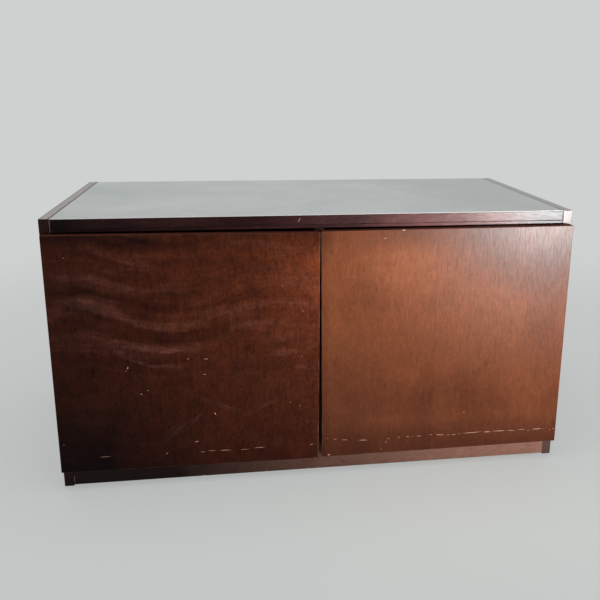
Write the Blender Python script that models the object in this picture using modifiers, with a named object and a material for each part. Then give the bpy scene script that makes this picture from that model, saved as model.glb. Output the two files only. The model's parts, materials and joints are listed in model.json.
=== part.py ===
"""A low two-door cabinet in Blender 4.5: veneered carcass, overlay doors on concealed hinges, shelves.

Metres, +Z up. The doors face -Y and +X is to the viewer's right. The origin is on the floor,
under the middle of the closed cabinet.
"""

from math import radians

import bmesh
import bpy
from mathutils import Matrix, Vector

# Carcass
WIDTH = 1.000
HEIGHT = 0.530
CARCASS_DEPTH = 0.480
BOARD = 0.018
LAMINATE = 0.001
EDGE_BAND = 0.002
BATTEN_HEIGHT = 0.006
BATTEN_DEPTH = 0.045
FLOOR_PANEL_HEIGHT = 0.042
PLINTH_LIFT = 0.0025
BACK_THICKNESS = 0.004
BACK_REBATE = 0.008
ARRIS = 0.0006
SEAT = 0.0003

# Doors
DOOR_THICKNESS = 0.018
DOOR_STANDOFF = 0.002
DOOR_REVEAL = 0.003
DOOR_CENTRE_GAP = 0.0045
DOOR_TOP_DROP = 0.0265
DOOR_FLOOR_CLEARANCE = 0.0405
DOOR_ARRIS = 0.001
LEFT_DOOR_DROOP = radians(0.42)
RIGHT_DOOR_DROOP = radians(0.25)

# Shelves and their pins
SHELF_HEIGHT = 0.285
SHELF_THICKNESS = 0.016
SHELF_SETBACK = 0.030
SHELF_END_CLEARANCE = 0.001
SHELF_BACK_CLEARANCE = 0.003
PIN_RADIUS = 0.0025
PIN_GRIP = 0.0075
PIN_REACH = 0.009
PIN_COLLAR_RADIUS = 0.0045
PIN_COLLAR = 0.0015
PIN_COLLAR_TOP = 0.0012
PIN_FROM_SHELF_END = 0.055
PIN_HOLE_PITCH = 0.032
PIN_HOLES_EACH_WAY = 1
PIN_HOLE_RUNOUT = 0.0005

# Concealed hinges, measured from the door's outer edge and its back face
HINGE_FROM_DOOR_END = 0.085
CUP_RADIUS = 0.0175
CUP_WALL = 0.0012
CUP_DEPTH = 0.0112
CUP_FROM_EDGE = 0.005
FLANGE_THICKNESS = 0.001
FLANGE_RIM = 0.002
FLANGE_WING_LENGTH = 0.060
FLANGE_WING_WIDTH = 0.011
FLANGE_WING_OFFSET = 0.0095
FLANGE_SCREW_SPACING = 0.048
CUP_PIVOT_FROM_EDGE = 0.010
CUP_PIVOT_DEPTH = 0.004
ARM_PIVOT_FROM_EDGE = 0.0335
ARM_PIVOT_DEPTH = 0.006
HINGE_PIN_RADIUS = 0.0012
HINGE_PIN_PLAY = 0.0003
EYE_WALL = 0.0011
EYE_SHOULDER = 0.0004
LINK_THICKNESS = 0.002
LINK_WIDTH = 0.010
LINK_KNEE = (0.0038, 0.0033)
ARM_THICKNESS = 0.0024
ARM_CHEEK = 0.002
ARM_CRANK_DEPTH = 0.010
ARM_LENGTH = 0.060
PLATE_SETBACK = 0.037
PLATE_WING_LENGTH = 0.050
PLATE_WING_WIDTH = 0.014
PLATE_WING_THICKNESS = 0.002
PLATE_SCREW_SPACING = 0.032
PLATE_RAIL_LENGTH = 0.038
PLATE_RAIL_WIDTH = 0.012
PLATE_RAIL_HEIGHT = 0.0067
SCREW_HEAD_RADIUS = 0.0032
SCREW_HEAD_HEIGHT = 0.0009
ARM_SCREWS_FROM_FRONT = (0.025, 0.050)

# Touch latches, on the partition near the top of each door
LATCH_BELOW_DOOR_TOP = 0.034
LATCH_LENGTH = 0.050
LATCH_WIDTH = 0.012
LATCH_HEIGHT = 0.020
LATCH_SETBACK = 0.004
LATCH_BEZEL = 0.0015
PLUNGER_RADIUS = 0.0035
PLUNGER_LENGTH = 0.040
PLUNGER_TRAVEL = 0.0025
PLUNGER_TIP_RADIUS = 0.005
PLUNGER_TIP_LENGTH = 0.0012
STRIKE_RADIUS = 0.007
STRIKE_THICKNESS = 0.001

# Facets and smoothing
CUP_SIDES = 32
PIN_SIDES = 12
SCREW_SIDES = 12
EYE_SIDES = 16
SMOOTH_ANGLE = radians(40)
WELD_DISTANCE = 0.00001

# Cutters run past the solids that they cut by this much
CUT_MARGIN = 0.002

# The empties that stand on the joints' axes
AXIS_DISPLAY_SIZE = 0.030

# Worked out from the sizes above
HALF_WIDTH = WIDTH / 2
FRONT = (DOOR_STANDOFF + DOOR_THICKNESS - CARCASS_DEPTH) / 2
BACK = FRONT + CARCASS_DEPTH
SIDE_FACE = HALF_WIDTH - BOARD
TOP_UNDERSIDE = HEIGHT - LAMINATE - BOARD
BATTEN_UNDERSIDE = TOP_UNDERSIDE - SEAT - BATTEN_HEIGHT
FLOOR_PANEL_TOP = FLOOR_PANEL_HEIGHT + BOARD
BACK_PANEL_FACE = BACK - BACK_THICKNESS
PARTITION_FACE = BOARD / 2
PARTITION_TOP = TOP_UNDERSIDE - SEAT
DOOR_TOP = HEIGHT - DOOR_TOP_DROP
DOOR_MIDDLE = (DOOR_TOP + DOOR_FLOOR_CLEARANCE) / 2
DOOR_WIDTH = (WIDTH - 2 * DOOR_REVEAL - DOOR_CENTRE_GAP) / 2
CUP_CENTRE = DOOR_REVEAL + CUP_FROM_EDGE + CUP_RADIUS
FLANGE_FACE = DOOR_STANDOFF - SEAT
FLANGE_OUTSIDE = FLANGE_FACE - FLANGE_THICKNESS
CUP_PIVOT = (DOOR_REVEAL + CUP_PIVOT_FROM_EDGE, DOOR_STANDOFF + CUP_PIVOT_DEPTH)
ARM_PIVOT = (DOOR_REVEAL + ARM_PIVOT_FROM_EDGE, DOOR_STANDOFF + ARM_PIVOT_DEPTH)
EYE_BORE = HINGE_PIN_RADIUS + HINGE_PIN_PLAY
EYE_RADIUS = EYE_BORE + EYE_WALL
ARM_SLOT_WIDTH = LINK_WIDTH + 2 * SEAT
ARM_WIDTH = ARM_SLOT_WIDTH + 2 * ARM_CHEEK
HINGE_HEIGHTS = {
    "lower": DOOR_FLOOR_CLEARANCE + HINGE_FROM_DOOR_END,
    "upper": DOOR_TOP - HINGE_FROM_DOOR_END,
}
LATCH_MIDDLE = DOOR_TOP - LATCH_BELOW_DOOR_TOP
LATCH_AXIS = PARTITION_FACE + SEAT + LATCH_WIDTH / 2

# A side is -1 on the viewer's left and +1 on the right
SIDES = {"left": -1, "right": 1}


def linear(red, green, blue):
    """Gives the linear colour of an sRGB colour written from 0 to 255."""
    return tuple((value / 255) ** 2.2 for value in (red, green, blue)) + (1.0,)


FINISHES = {
    "veneer": (linear(124, 66, 44), 0.35, 0.0),
    "laminate": (linear(186, 190, 192), 0.40, 0.0),
    "edge_veneer": (linear(72, 38, 34), 0.35, 0.0),
    "inner_veneer": (linear(136, 82, 56), 0.50, 0.0),
    "hardboard": (linear(118, 84, 60), 0.75, 0.0),
    "zinc": (linear(176, 178, 180), 0.30, 1.0),
    "pin_steel": (linear(150, 152, 156), 0.25, 1.0),
    "latch_plastic": (linear(98, 64, 46), 0.45, 0.0),
}


def clear_scene():
    """Empties the file of its objects."""
    for old in list(bpy.data.objects):
        bpy.data.objects.remove(old)


def new_collection(name):
    collection = bpy.data.collections.new(name)
    bpy.context.scene.collection.children.link(collection)
    return collection


def new_material(name, colour, roughness, metallic):
    material = bpy.data.materials.new(name)
    material.use_nodes = True
    shader = material.node_tree.nodes["Principled BSDF"]
    shader.inputs["Base Color"].default_value = colour
    shader.inputs["Roughness"].default_value = roughness
    shader.inputs["Metallic"].default_value = metallic
    return material


class Workshop:
    """Makes solids, and keeps pieces and cutters in their own collections."""

    def __init__(self):
        self.pieces = new_collection("two_door_cabinet")
        self.cutters = new_collection("cutters")

    def add(self, name, mesh, finish, location):
        """Places a mesh as a piece with its own material, or as a cutter where it has no finish."""
        obj = bpy.data.objects.new(name, mesh)
        obj.location = location
        if finish:
            mesh.materials.append(new_material(name, *FINISHES[finish]))
            self.pieces.objects.link(obj)
        else:
            obj.hide_render = True
            obj.display_type = "WIRE"
            self.cutters.objects.link(obj)
        return obj

    def box(self, name, low, high, finish=None, arris=0.0, origin=None):
        """A box between any two opposite corners, its edges bevelled by arris."""
        low, high = Vector(map(min, low, high)), Vector(map(max, low, high))
        middle = (low + high) / 2
        origin = Vector(origin) if origin else middle
        shape = bmesh.new()
        bmesh.ops.create_cube(shape, size=1.0)
        bmesh.ops.scale(shape, vec=high - low, verts=shape.verts)
        bmesh.ops.translate(shape, vec=middle - origin, verts=shape.verts)
        mesh = bpy.data.meshes.new(name)
        shape.to_mesh(mesh)
        shape.free()
        obj = self.add(name, mesh, finish, origin)
        if arris:
            bevel = obj.modifiers.new("arris", "BEVEL")
            bevel.width = arris
            bevel.segments = 1
            bevel.limit_method = "ANGLE"
        return obj

    def cylinder(self, name, start, end, radius, sides, finish=None):
        """A round bar between two points."""
        start, end = Vector(start), Vector(end)
        along = end - start
        turn = along.to_track_quat("Z", "Y").to_matrix().to_4x4()
        shape = bmesh.new()
        bmesh.ops.create_cone(
            shape,
            cap_ends=True,
            segments=sides,
            radius1=radius,
            radius2=radius,
            depth=along.length,
            matrix=turn,
        )
        mesh = bpy.data.meshes.new(name)
        shape.to_mesh(mesh)
        shape.free()
        mesh.shade_smooth()
        mesh.set_sharp_from_angle(angle=SMOOTH_ANGLE)
        return self.add(name, mesh, finish, (start + end) / 2)

    def strip(self, name, path, thickness, low, high, finish=None):
        """A strip of even thickness along a path seen from above, between two heights."""
        curve = bpy.data.curves.new(name, "CURVE")
        curve.dimensions = "2D"
        curve.fill_mode = "BOTH"
        curve.extrude = (high - low) / 2
        start = Vector(path[0])
        outline = strip_outline([Vector(point) - start for point in path], thickness)
        spline = curve.splines.new("POLY")
        spline.points.add(len(outline) - 1)
        for point, (x, y) in zip(spline.points, outline):
            point.co = (x, y, 0.0, 1.0)
        spline.use_cyclic_u = True
        guide = bpy.data.objects.new(name + "_guide", curve)
        self.cutters.objects.link(guide)
        bpy.context.view_layer.update()
        graph = bpy.context.evaluated_depsgraph_get()
        mesh = bpy.data.meshes.new_from_object(guide.evaluated_get(graph))
        mesh.name = name
        mesh.materials.clear()
        shape = bmesh.new()
        shape.from_mesh(mesh)
        bmesh.ops.remove_doubles(shape, verts=shape.verts, dist=WELD_DISTANCE)
        bmesh.ops.recalc_face_normals(shape, faces=shape.faces)
        shape.to_mesh(mesh)
        shape.free()
        bpy.data.objects.remove(guide)
        return self.add(name, mesh, finish, (start.x, start.y, (low + high) / 2))


def strip_outline(path, thickness):
    """Offsets a path to both sides by half a thickness, with mitred corners."""
    near, far = [], []
    for i, point in enumerate(path):
        before = (point - path[i - 1]).normalized() if i else None
        after = (path[i + 1] - point).normalized() if i + 1 < len(path) else None
        normals = [Vector((-way.y, way.x)) for way in (before, after) if way]
        mitre = sum(normals, Vector((0.0, 0.0))).normalized()
        reach = thickness / 2 / mitre.dot(normals[0])
        near.append(point + mitre * reach)
        far.append(point - mitre * reach)
    return near + far[::-1]


def shape_with(obj, other, operation):
    """Cuts obj by another solid, or joins that solid to it."""
    boolean = obj.modifiers.new(other.name, "BOOLEAN")
    boolean.operation = operation
    boolean.object = other
    boolean.solver = "EXACT"


def cut(obj, *others):
    for other in others:
        shape_with(obj, other, "DIFFERENCE")


def join(obj, *others):
    for other in others:
        shape_with(obj, other, "UNION")


def hang(pieces, axis):
    """Parents pieces, and what cuts or joins them, to the empty on their joint's axis."""
    still = Matrix.Translation(-axis.location)
    for piece in pieces:
        shapes = [modifier.object for modifier in piece.modifiers if modifier.type == "BOOLEAN"]
        for obj in [piece, *shapes]:
            obj.parent = axis
            obj.matrix_parent_inverse = still


def joint_axis(workshop, name, location):
    axis = bpy.data.objects.new(name, None)
    axis.empty_display_size = AXIS_DISPLAY_SIZE
    axis.location = location
    workshop.pieces.objects.link(axis)
    return axis


def place(side, inward, outward, height):
    """A point given by its distance in from a side's outer face and out from the carcass front."""
    return Vector((side * (HALF_WIDTH - inward), FRONT - outward, height))


def build_side_panel(workshop, word, side):
    panel = workshop.box(
        f"side_panel_{word}",
        (side * SIDE_FACE, FRONT, 0.0),
        (side * HALF_WIDTH, BACK, HEIGHT),
        "veneer",
        ARRIS,
    )
    rebate = workshop.box(
        f"cut_back_rebate_{word}",
        (side * (SIDE_FACE - CUT_MARGIN), BACK_PANEL_FACE - SEAT, FLOOR_PANEL_HEIGHT - SEAT),
        (side * (SIDE_FACE + BACK_REBATE), BACK + CUT_MARGIN, TOP_UNDERSIDE),
    )
    cut(panel, rebate)
    return panel


def build_carcass(workshop):
    """The boards that stand still, apart from the sides and the partition."""
    end = SIDE_FACE - SEAT
    workshop.box(
        "top_panel",
        (-end, FRONT + EDGE_BAND + SEAT, TOP_UNDERSIDE),
        (end, BACK, HEIGHT - LAMINATE - SEAT),
        "inner_veneer",
    )
    workshop.box(
        "top_laminate",
        (-end, FRONT, HEIGHT - LAMINATE),
        (end, BACK, HEIGHT),
        "laminate",
    )
    workshop.box(
        "top_edge_band",
        (-end, FRONT, TOP_UNDERSIDE),
        (end, FRONT + EDGE_BAND, HEIGHT - LAMINATE - SEAT),
        "edge_veneer",
    )
    workshop.box(
        "top_batten",
        (-end, FRONT, BATTEN_UNDERSIDE),
        (end, FRONT + BATTEN_DEPTH, TOP_UNDERSIDE - SEAT),
        "edge_veneer",
        ARRIS,
    )
    workshop.box(
        "bottom_panel",
        (-end, FRONT, FLOOR_PANEL_HEIGHT),
        (end, BACK_PANEL_FACE - SEAT, FLOOR_PANEL_TOP),
        "inner_veneer",
        ARRIS,
    )
    workshop.box(
        "back_panel",
        (-end - BACK_REBATE, BACK_PANEL_FACE, FLOOR_PANEL_HEIGHT),
        (end + BACK_REBATE, BACK, TOP_UNDERSIDE - SEAT),
        "hardboard",
    )
    for word, near in (("front", FRONT), ("back", BACK - BOARD)):
        workshop.box(
            f"plinth_{word}",
            (-end, near, PLINTH_LIFT),
            (end, near + BOARD, FLOOR_PANEL_HEIGHT - SEAT),
            "veneer",
            ARRIS,
        )
    workshop.box(
        "plinth_cross_rail",
        (-BOARD / 2, FRONT + BOARD + SEAT, PLINTH_LIFT),
        (BOARD / 2, BACK - BOARD - SEAT, FLOOR_PANEL_HEIGHT - SEAT),
        "inner_veneer",
        ARRIS,
    )


def build_partition(workshop):
    """The upright board in the middle, notched at the top for the front batten."""
    partition = workshop.box(
        "centre_partition",
        (-PARTITION_FACE, FRONT, FLOOR_PANEL_TOP + SEAT),
        (PARTITION_FACE, BACK_PANEL_FACE - SEAT, PARTITION_TOP),
        "inner_veneer",
        ARRIS,
    )
    notch = workshop.box(
        "cut_batten_notch",
        (-PARTITION_FACE - CUT_MARGIN, FRONT - CUT_MARGIN, BATTEN_UNDERSIDE - SEAT),
        (PARTITION_FACE + CUT_MARGIN, FRONT + BATTEN_DEPTH + SEAT, PARTITION_TOP + CUT_MARGIN),
    )
    cut(partition, notch)
    return partition


def build_shelf(workshop, word, side, side_panel, partition):
    """A shelf on four pins, and the rows of holes that the pins go in."""
    shelf_front = FRONT + SHELF_SETBACK
    shelf_back = BACK_PANEL_FACE - SHELF_BACK_CLEARANCE
    workshop.box(
        f"shelf_{word}",
        (side * (PARTITION_FACE + SHELF_END_CLEARANCE), shelf_front, SHELF_HEIGHT),
        (side * (SIDE_FACE - SHELF_END_CLEARANCE), shelf_back, SHELF_HEIGHT + SHELF_THICKNESS),
        "inner_veneer",
        ARRIS,
    )
    pin_height = SHELF_HEIGHT - SEAT - PIN_RADIUS
    rows = {"front": shelf_front + PIN_FROM_SHELF_END, "back": shelf_back - PIN_FROM_SHELF_END}
    faces = {"outer": (side_panel, SIDE_FACE, 1), "inner": (partition, PARTITION_FACE, -1)}
    for face_word, (board, face, into) in faces.items():
        for row_word, y in rows.items():
            name = f"shelf_pin_{word}_{face_word}_{row_word}"
            build_shelf_pin(workshop, name, side, face, into, y, pin_height)
            for step in range(-PIN_HOLES_EACH_WAY, PIN_HOLES_EACH_WAY + 1):
                z = pin_height + step * PIN_HOLE_PITCH
                hole = workshop.cylinder(
                    f"cut_{name}_{step + PIN_HOLES_EACH_WAY}",
                    (side * (face - into * CUT_MARGIN), y, z),
                    (side * (face + into * (PIN_GRIP + PIN_HOLE_RUNOUT)), y, z),
                    PIN_RADIUS + SEAT,
                    PIN_SIDES,
                )
                cut(board, hole)


def build_shelf_pin(workshop, name, side, face, into, y, z):
    """A peg in a board with a collar against the board's face."""
    out = -into
    pin = workshop.cylinder(
        name,
        (side * (face + into * PIN_GRIP), y, z),
        (side * (face + out * PIN_REACH), y, z),
        PIN_RADIUS,
        PIN_SIDES,
        "pin_steel",
    )
    collar = workshop.box(
        f"add_{name}_collar",
        (side * (face + out * SEAT), y - PIN_COLLAR_RADIUS, z - PIN_COLLAR_RADIUS),
        (side * (face + out * (SEAT + PIN_COLLAR)), y + PIN_COLLAR_RADIUS, z + PIN_COLLAR_TOP),
    )
    join(pin, collar)


def build_door(workshop, word, side, droop):
    """A door panel, with its origin on its hinge pin's axis, sagging by droop at its free edge."""
    axis = place(side, *CUP_PIVOT, DOOR_MIDDLE)
    door = workshop.box(
        f"door_panel_{word}",
        place(side, DOOR_REVEAL, DOOR_STANDOFF + DOOR_THICKNESS, DOOR_FLOOR_CLEARANCE),
        place(side, DOOR_REVEAL + DOOR_WIDTH, DOOR_STANDOFF, DOOR_TOP),
        "veneer",
        DOOR_ARRIS,
        axis,
    )
    door.rotation_euler.y = -side * droop
    for height in HINGE_HEIGHTS.values():
        bore = workshop.cylinder(
            f"cut_cup_bore_{word}_{height:.3f}",
            place(side, CUP_CENTRE, DOOR_STANDOFF - CUT_MARGIN, height),
            place(side, CUP_CENTRE, DOOR_STANDOFF + CUP_DEPTH + SEAT, height),
            CUP_RADIUS + SEAT,
            CUP_SIDES,
        )
        cut(door, bore)
    return door


def build_hinge_cup(workshop, tag, side, height):
    """The cup in the door, its flange and wings, and the holes that hold its pin."""
    cup = workshop.cylinder(
        f"hinge_cup_{tag}",
        place(side, CUP_CENTRE, FLANGE_OUTSIDE + FLANGE_THICKNESS / 2, height),
        place(side, CUP_CENTRE, DOOR_STANDOFF + CUP_DEPTH, height),
        CUP_RADIUS,
        CUP_SIDES,
        "zinc",
    )
    rim = workshop.cylinder(
        f"add_flange_{tag}",
        place(side, CUP_CENTRE, FLANGE_OUTSIDE, height),
        place(side, CUP_CENTRE, FLANGE_FACE, height),
        CUP_RADIUS + FLANGE_RIM,
        CUP_SIDES,
    )
    wing_middle = CUP_CENTRE + FLANGE_WING_OFFSET
    half_width = Vector((FLANGE_WING_WIDTH / 2, 0.0, FLANGE_WING_LENGTH / 2))
    face = place(side, wing_middle, FLANGE_FACE, height)
    outside = place(side, wing_middle, FLANGE_OUTSIDE, height)
    wings = workshop.box(f"add_wings_{tag}", outside - half_width, face + half_width)
    join(cup, rim, wings)
    for number, way in enumerate((-1, 1)):
        z = height + way * FLANGE_SCREW_SPACING / 2
        head = workshop.cylinder(
            f"add_wing_screw_{tag}_{number}",
            place(side, wing_middle, FLANGE_OUTSIDE + FLANGE_THICKNESS / 2, z),
            place(side, wing_middle, FLANGE_OUTSIDE - SCREW_HEAD_HEIGHT, z),
            SCREW_HEAD_RADIUS,
            SCREW_SIDES,
        )
        join(cup, head)
    hollow = workshop.cylinder(
        f"cut_cup_{tag}",
        place(side, CUP_CENTRE, FLANGE_OUTSIDE - CUT_MARGIN, height),
        place(side, CUP_CENTRE, DOOR_STANDOFF + CUP_DEPTH - CUP_WALL, height),
        CUP_RADIUS - CUP_WALL,
        CUP_SIDES,
    )
    through = workshop.cylinder(
        f"cut_cup_pin_{tag}",
        place(side, *CUP_PIVOT, height - CUP_RADIUS),
        place(side, *CUP_PIVOT, height + CUP_RADIUS),
        EYE_BORE,
        PIN_SIDES,
    )
    cut(cup, hollow, through)
    return cup


def build_hinge_link(workshop, tag, side, height):
    """The link between the arm's pin and the cup's pin, bent round the cup's rim."""
    knee = (CUP_PIVOT[0] + LINK_KNEE[0], CUP_PIVOT[1] + LINK_KNEE[1])
    path = [place(side, *point, 0.0).xy for point in (CUP_PIVOT, knee, ARM_PIVOT)]
    low, high = height - LINK_WIDTH / 2, height + LINK_WIDTH / 2
    link = workshop.strip(
        f"hinge_link_{tag}", path, LINK_THICKNESS, low + EYE_SHOULDER, high - EYE_SHOULDER, "zinc"
    )
    for word, pivot in (("cup", CUP_PIVOT), ("arm", ARM_PIVOT)):
        eye = workshop.cylinder(
            f"add_link_{word}_eye_{tag}",
            place(side, *pivot, low),
            place(side, *pivot, high),
            EYE_RADIUS,
            EYE_SIDES,
        )
        join(link, eye)
    for word, pivot in (("cup", CUP_PIVOT), ("arm", ARM_PIVOT)):
        bore = workshop.cylinder(
            f"cut_link_{word}_eye_{tag}",
            place(side, *pivot, low - CUT_MARGIN),
            place(side, *pivot, high + CUT_MARGIN),
            EYE_BORE,
            PIN_SIDES,
        )
        cut(link, bore)
    return link


def build_hinge_arm(workshop, tag, side, height):
    """The arm on its plate, cranked out to the pin that carries the link between two cheeks."""
    strap = BOARD + SEAT + PLATE_RAIL_HEIGHT + SEAT + ARM_THICKNESS / 2
    path_points = [
        (strap, -ARM_LENGTH),
        (strap, -ARM_CRANK_DEPTH),
        (ARM_PIVOT[0], -ARM_THICKNESS / 2),
        ARM_PIVOT,
    ]
    path = [place(side, *point, 0.0).xy for point in path_points]
    low, high = height - ARM_WIDTH / 2, height + ARM_WIDTH / 2
    arm = workshop.strip(
        f"hinge_arm_{tag}", path, ARM_THICKNESS, low + EYE_SHOULDER, high - EYE_SHOULDER, "zinc"
    )
    eye = workshop.cylinder(
        f"add_arm_eye_{tag}",
        place(side, *ARM_PIVOT, low),
        place(side, *ARM_PIVOT, high),
        EYE_RADIUS,
        EYE_SIDES,
    )
    join(arm, eye)
    face = strap + ARM_THICKNESS / 2
    for number, setback in enumerate(ARM_SCREWS_FROM_FRONT):
        head = workshop.cylinder(
            f"add_arm_screw_{tag}_{number}",
            place(side, face - ARM_THICKNESS / 2, -setback, height),
            place(side, face + SCREW_HEAD_HEIGHT, -setback, height),
            SCREW_HEAD_RADIUS,
            SCREW_SIDES,
        )
        join(arm, head)
    half_slot = Vector((EYE_RADIUS + CUT_MARGIN, 0.0, ARM_SLOT_WIDTH / 2))
    slot_mouth = place(side, ARM_PIVOT[0], ARM_PIVOT[1] + EYE_RADIUS + CUT_MARGIN, height)
    slot_end = place(side, ARM_PIVOT[0], ARM_PIVOT[1] - EYE_RADIUS - SEAT, height)
    slot = workshop.box(f"cut_arm_slot_{tag}", slot_mouth - half_slot, slot_end + half_slot)
    bore = workshop.cylinder(
        f"cut_arm_eye_{tag}",
        place(side, *ARM_PIVOT, low - CUT_MARGIN),
        place(side, *ARM_PIVOT, high + CUT_MARGIN),
        EYE_BORE,
        PIN_SIDES,
    )
    cut(arm, slot, bore)


def build_hinge_plate(workshop, tag, side, height):
    """The mounting plate on the side panel: a wing with two screws and the rail the arm sits on."""
    base = BOARD + SEAT
    half_wing = Vector((0.0, PLATE_WING_WIDTH / 2, PLATE_WING_LENGTH / 2))
    seat = place(side, base, -PLATE_SETBACK, height)
    wing_face = place(side, base + PLATE_WING_THICKNESS, -PLATE_SETBACK, height)
    plate = workshop.box(f"hinge_plate_{tag}", seat - half_wing, wing_face + half_wing, "zinc")
    half_rail = Vector((0.0, PLATE_RAIL_LENGTH / 2, PLATE_RAIL_WIDTH / 2))
    rail_face = place(side, base + PLATE_RAIL_HEIGHT, -PLATE_SETBACK, height)
    rail = workshop.box(f"add_plate_rail_{tag}", seat - half_rail, rail_face + half_rail)
    join(plate, rail)
    for number, way in enumerate((-1, 1)):
        z = height + way * PLATE_SCREW_SPACING / 2
        head = workshop.cylinder(
            f"add_plate_screw_{tag}_{number}",
            place(side, base + PLATE_WING_THICKNESS / 2, -PLATE_SETBACK, z),
            place(side, base + PLATE_WING_THICKNESS + SCREW_HEAD_HEIGHT, -PLATE_SETBACK, z),
            SCREW_HEAD_RADIUS,
            SCREW_SIDES,
        )
        join(plate, head)


def build_hinge_pin(workshop, name, side, pivot, half_length, height):
    return workshop.cylinder(
        name,
        place(side, *pivot, height - half_length),
        place(side, *pivot, height + half_length),
        HINGE_PIN_RADIUS,
        PIN_SIDES,
        "pin_steel",
    )


def build_hinge(workshop, word, side, height_word):
    """One concealed hinge. Gives the pieces that turn with the link and those that turn with the door."""
    tag = f"{word}_{height_word}"
    height = HINGE_HEIGHTS[height_word]
    build_hinge_plate(workshop, tag, side, height)
    build_hinge_arm(workshop, tag, side, height)
    build_hinge_pin(workshop, f"hinge_arm_pin_{tag}", side, ARM_PIVOT, ARM_WIDTH / 2, height)
    link = build_hinge_link(workshop, tag, side, height)
    cup = build_hinge_cup(workshop, tag, side, height)
    chord_offset = CUP_CENTRE - CUP_PIVOT[0]
    cup_pin_half = ((CUP_RADIUS - CUP_WALL / 2) ** 2 - chord_offset**2) ** 0.5
    cup_pin = build_hinge_pin(
        workshop, f"hinge_cup_pin_{tag}", side, CUP_PIVOT, cup_pin_half, height
    )
    return [link], [cup, cup_pin]


def build_latch(workshop, word, side):
    """A touch latch on the partition. Gives its plunger and the strike plate on the door."""
    front = FRONT + LATCH_SETBACK
    x = side * LATCH_AXIS
    half = Vector((LATCH_WIDTH / 2, 0.0, LATCH_HEIGHT / 2))
    housing = workshop.box(
        f"latch_housing_{word}",
        Vector((x, front, LATCH_MIDDLE)) - half,
        Vector((x, front + LATCH_LENGTH, LATCH_MIDDLE)) + half,
        "latch_plastic",
        LATCH_BEZEL,
    )
    strike_back = FRONT - DOOR_STANDOFF + SEAT
    strike_face = strike_back + STRIKE_THICKNESS
    tip_front = strike_face + SEAT
    plunger_end = tip_front + PLUNGER_LENGTH
    bore = workshop.cylinder(
        f"cut_latch_bore_{word}",
        (x, front - CUT_MARGIN, LATCH_MIDDLE),
        (x, plunger_end + PLUNGER_TRAVEL + SEAT, LATCH_MIDDLE),
        PLUNGER_RADIUS + SEAT,
        EYE_SIDES,
    )
    cut(housing, bore)
    plunger = workshop.cylinder(
        f"latch_plunger_{word}",
        (x, tip_front, LATCH_MIDDLE),
        (x, plunger_end, LATCH_MIDDLE),
        PLUNGER_RADIUS,
        EYE_SIDES,
        "latch_plastic",
    )
    tip = workshop.cylinder(
        f"add_latch_tip_{word}",
        (x, tip_front, LATCH_MIDDLE),
        (x, tip_front + PLUNGER_TIP_LENGTH, LATCH_MIDDLE),
        PLUNGER_TIP_RADIUS,
        EYE_SIDES,
    )
    join(plunger, tip)
    strike = workshop.cylinder(
        f"strike_plate_{word}",
        (x, strike_back, LATCH_MIDDLE),
        (x, strike_face, LATCH_MIDDLE),
        STRIKE_RADIUS,
        EYE_SIDES,
        "zinc",
    )
    return plunger, strike


def main():
    clear_scene()
    workshop = Workshop()
    build_carcass(workshop)
    partition = build_partition(workshop)
    droops = {"left": LEFT_DOOR_DROOP, "right": RIGHT_DOOR_DROOP}
    for word, side in SIDES.items():
        side_panel = build_side_panel(workshop, word, side)
        build_shelf(workshop, word, side, side_panel, partition)
        link_axis = joint_axis(workshop, f"axis_links_{word}", place(side, *ARM_PIVOT, DOOR_MIDDLE))
        door_axis = joint_axis(workshop, f"axis_door_{word}", place(side, *CUP_PIVOT, DOOR_MIDDLE))
        door_pieces = [build_door(workshop, word, side, droops[word])]
        link_pieces = []
        for height_word in HINGE_HEIGHTS:
            links, cups = build_hinge(workshop, word, side, height_word)
            link_pieces += links
            door_pieces += cups
        plunger, strike = build_latch(workshop, word, side)
        door_pieces.append(strike)
        plunger_axis = joint_axis(workshop, f"axis_plunger_{word}", plunger.location)
        hang([plunger], plunger_axis)
        hang(door_pieces, door_axis)
        hang([door_axis, *link_pieces], link_axis)


main()
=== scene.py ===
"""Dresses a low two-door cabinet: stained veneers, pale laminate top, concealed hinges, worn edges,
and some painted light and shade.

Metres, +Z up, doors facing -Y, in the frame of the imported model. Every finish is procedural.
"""

from __future__ import annotations

import json
import logging
import math
import random
from dataclasses import dataclass, replace
from enum import Enum
from functools import cached_property
from typing import ClassVar

import bmesh
import bpy
from mathutils import Matrix, Vector

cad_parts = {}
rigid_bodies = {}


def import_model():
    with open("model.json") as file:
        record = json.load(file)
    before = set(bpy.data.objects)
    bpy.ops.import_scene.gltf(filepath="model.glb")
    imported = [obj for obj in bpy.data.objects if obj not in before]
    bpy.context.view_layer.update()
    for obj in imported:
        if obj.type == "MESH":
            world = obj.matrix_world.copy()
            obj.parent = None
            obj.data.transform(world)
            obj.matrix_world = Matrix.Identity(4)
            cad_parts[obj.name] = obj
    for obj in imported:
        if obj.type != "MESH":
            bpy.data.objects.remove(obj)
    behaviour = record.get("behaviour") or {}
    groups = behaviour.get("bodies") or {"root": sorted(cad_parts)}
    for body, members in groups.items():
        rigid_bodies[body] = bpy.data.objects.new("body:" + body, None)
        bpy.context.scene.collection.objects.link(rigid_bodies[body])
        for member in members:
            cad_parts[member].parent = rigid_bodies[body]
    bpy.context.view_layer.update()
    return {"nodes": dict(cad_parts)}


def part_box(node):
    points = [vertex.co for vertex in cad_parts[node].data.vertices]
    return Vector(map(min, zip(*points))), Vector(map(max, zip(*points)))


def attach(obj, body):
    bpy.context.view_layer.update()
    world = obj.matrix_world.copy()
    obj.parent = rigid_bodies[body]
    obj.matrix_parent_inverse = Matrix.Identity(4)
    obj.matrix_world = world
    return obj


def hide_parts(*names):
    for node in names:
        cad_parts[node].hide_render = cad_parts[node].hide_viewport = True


LOG = logging.getLogger("cabinet")
SHARP_EDGE = math.radians(10)
MILLIMETRES_IN_METRE = 1000
QUARTER_TURN = math.radians(90)
ROUND_PROFILE = 0.5

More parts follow.
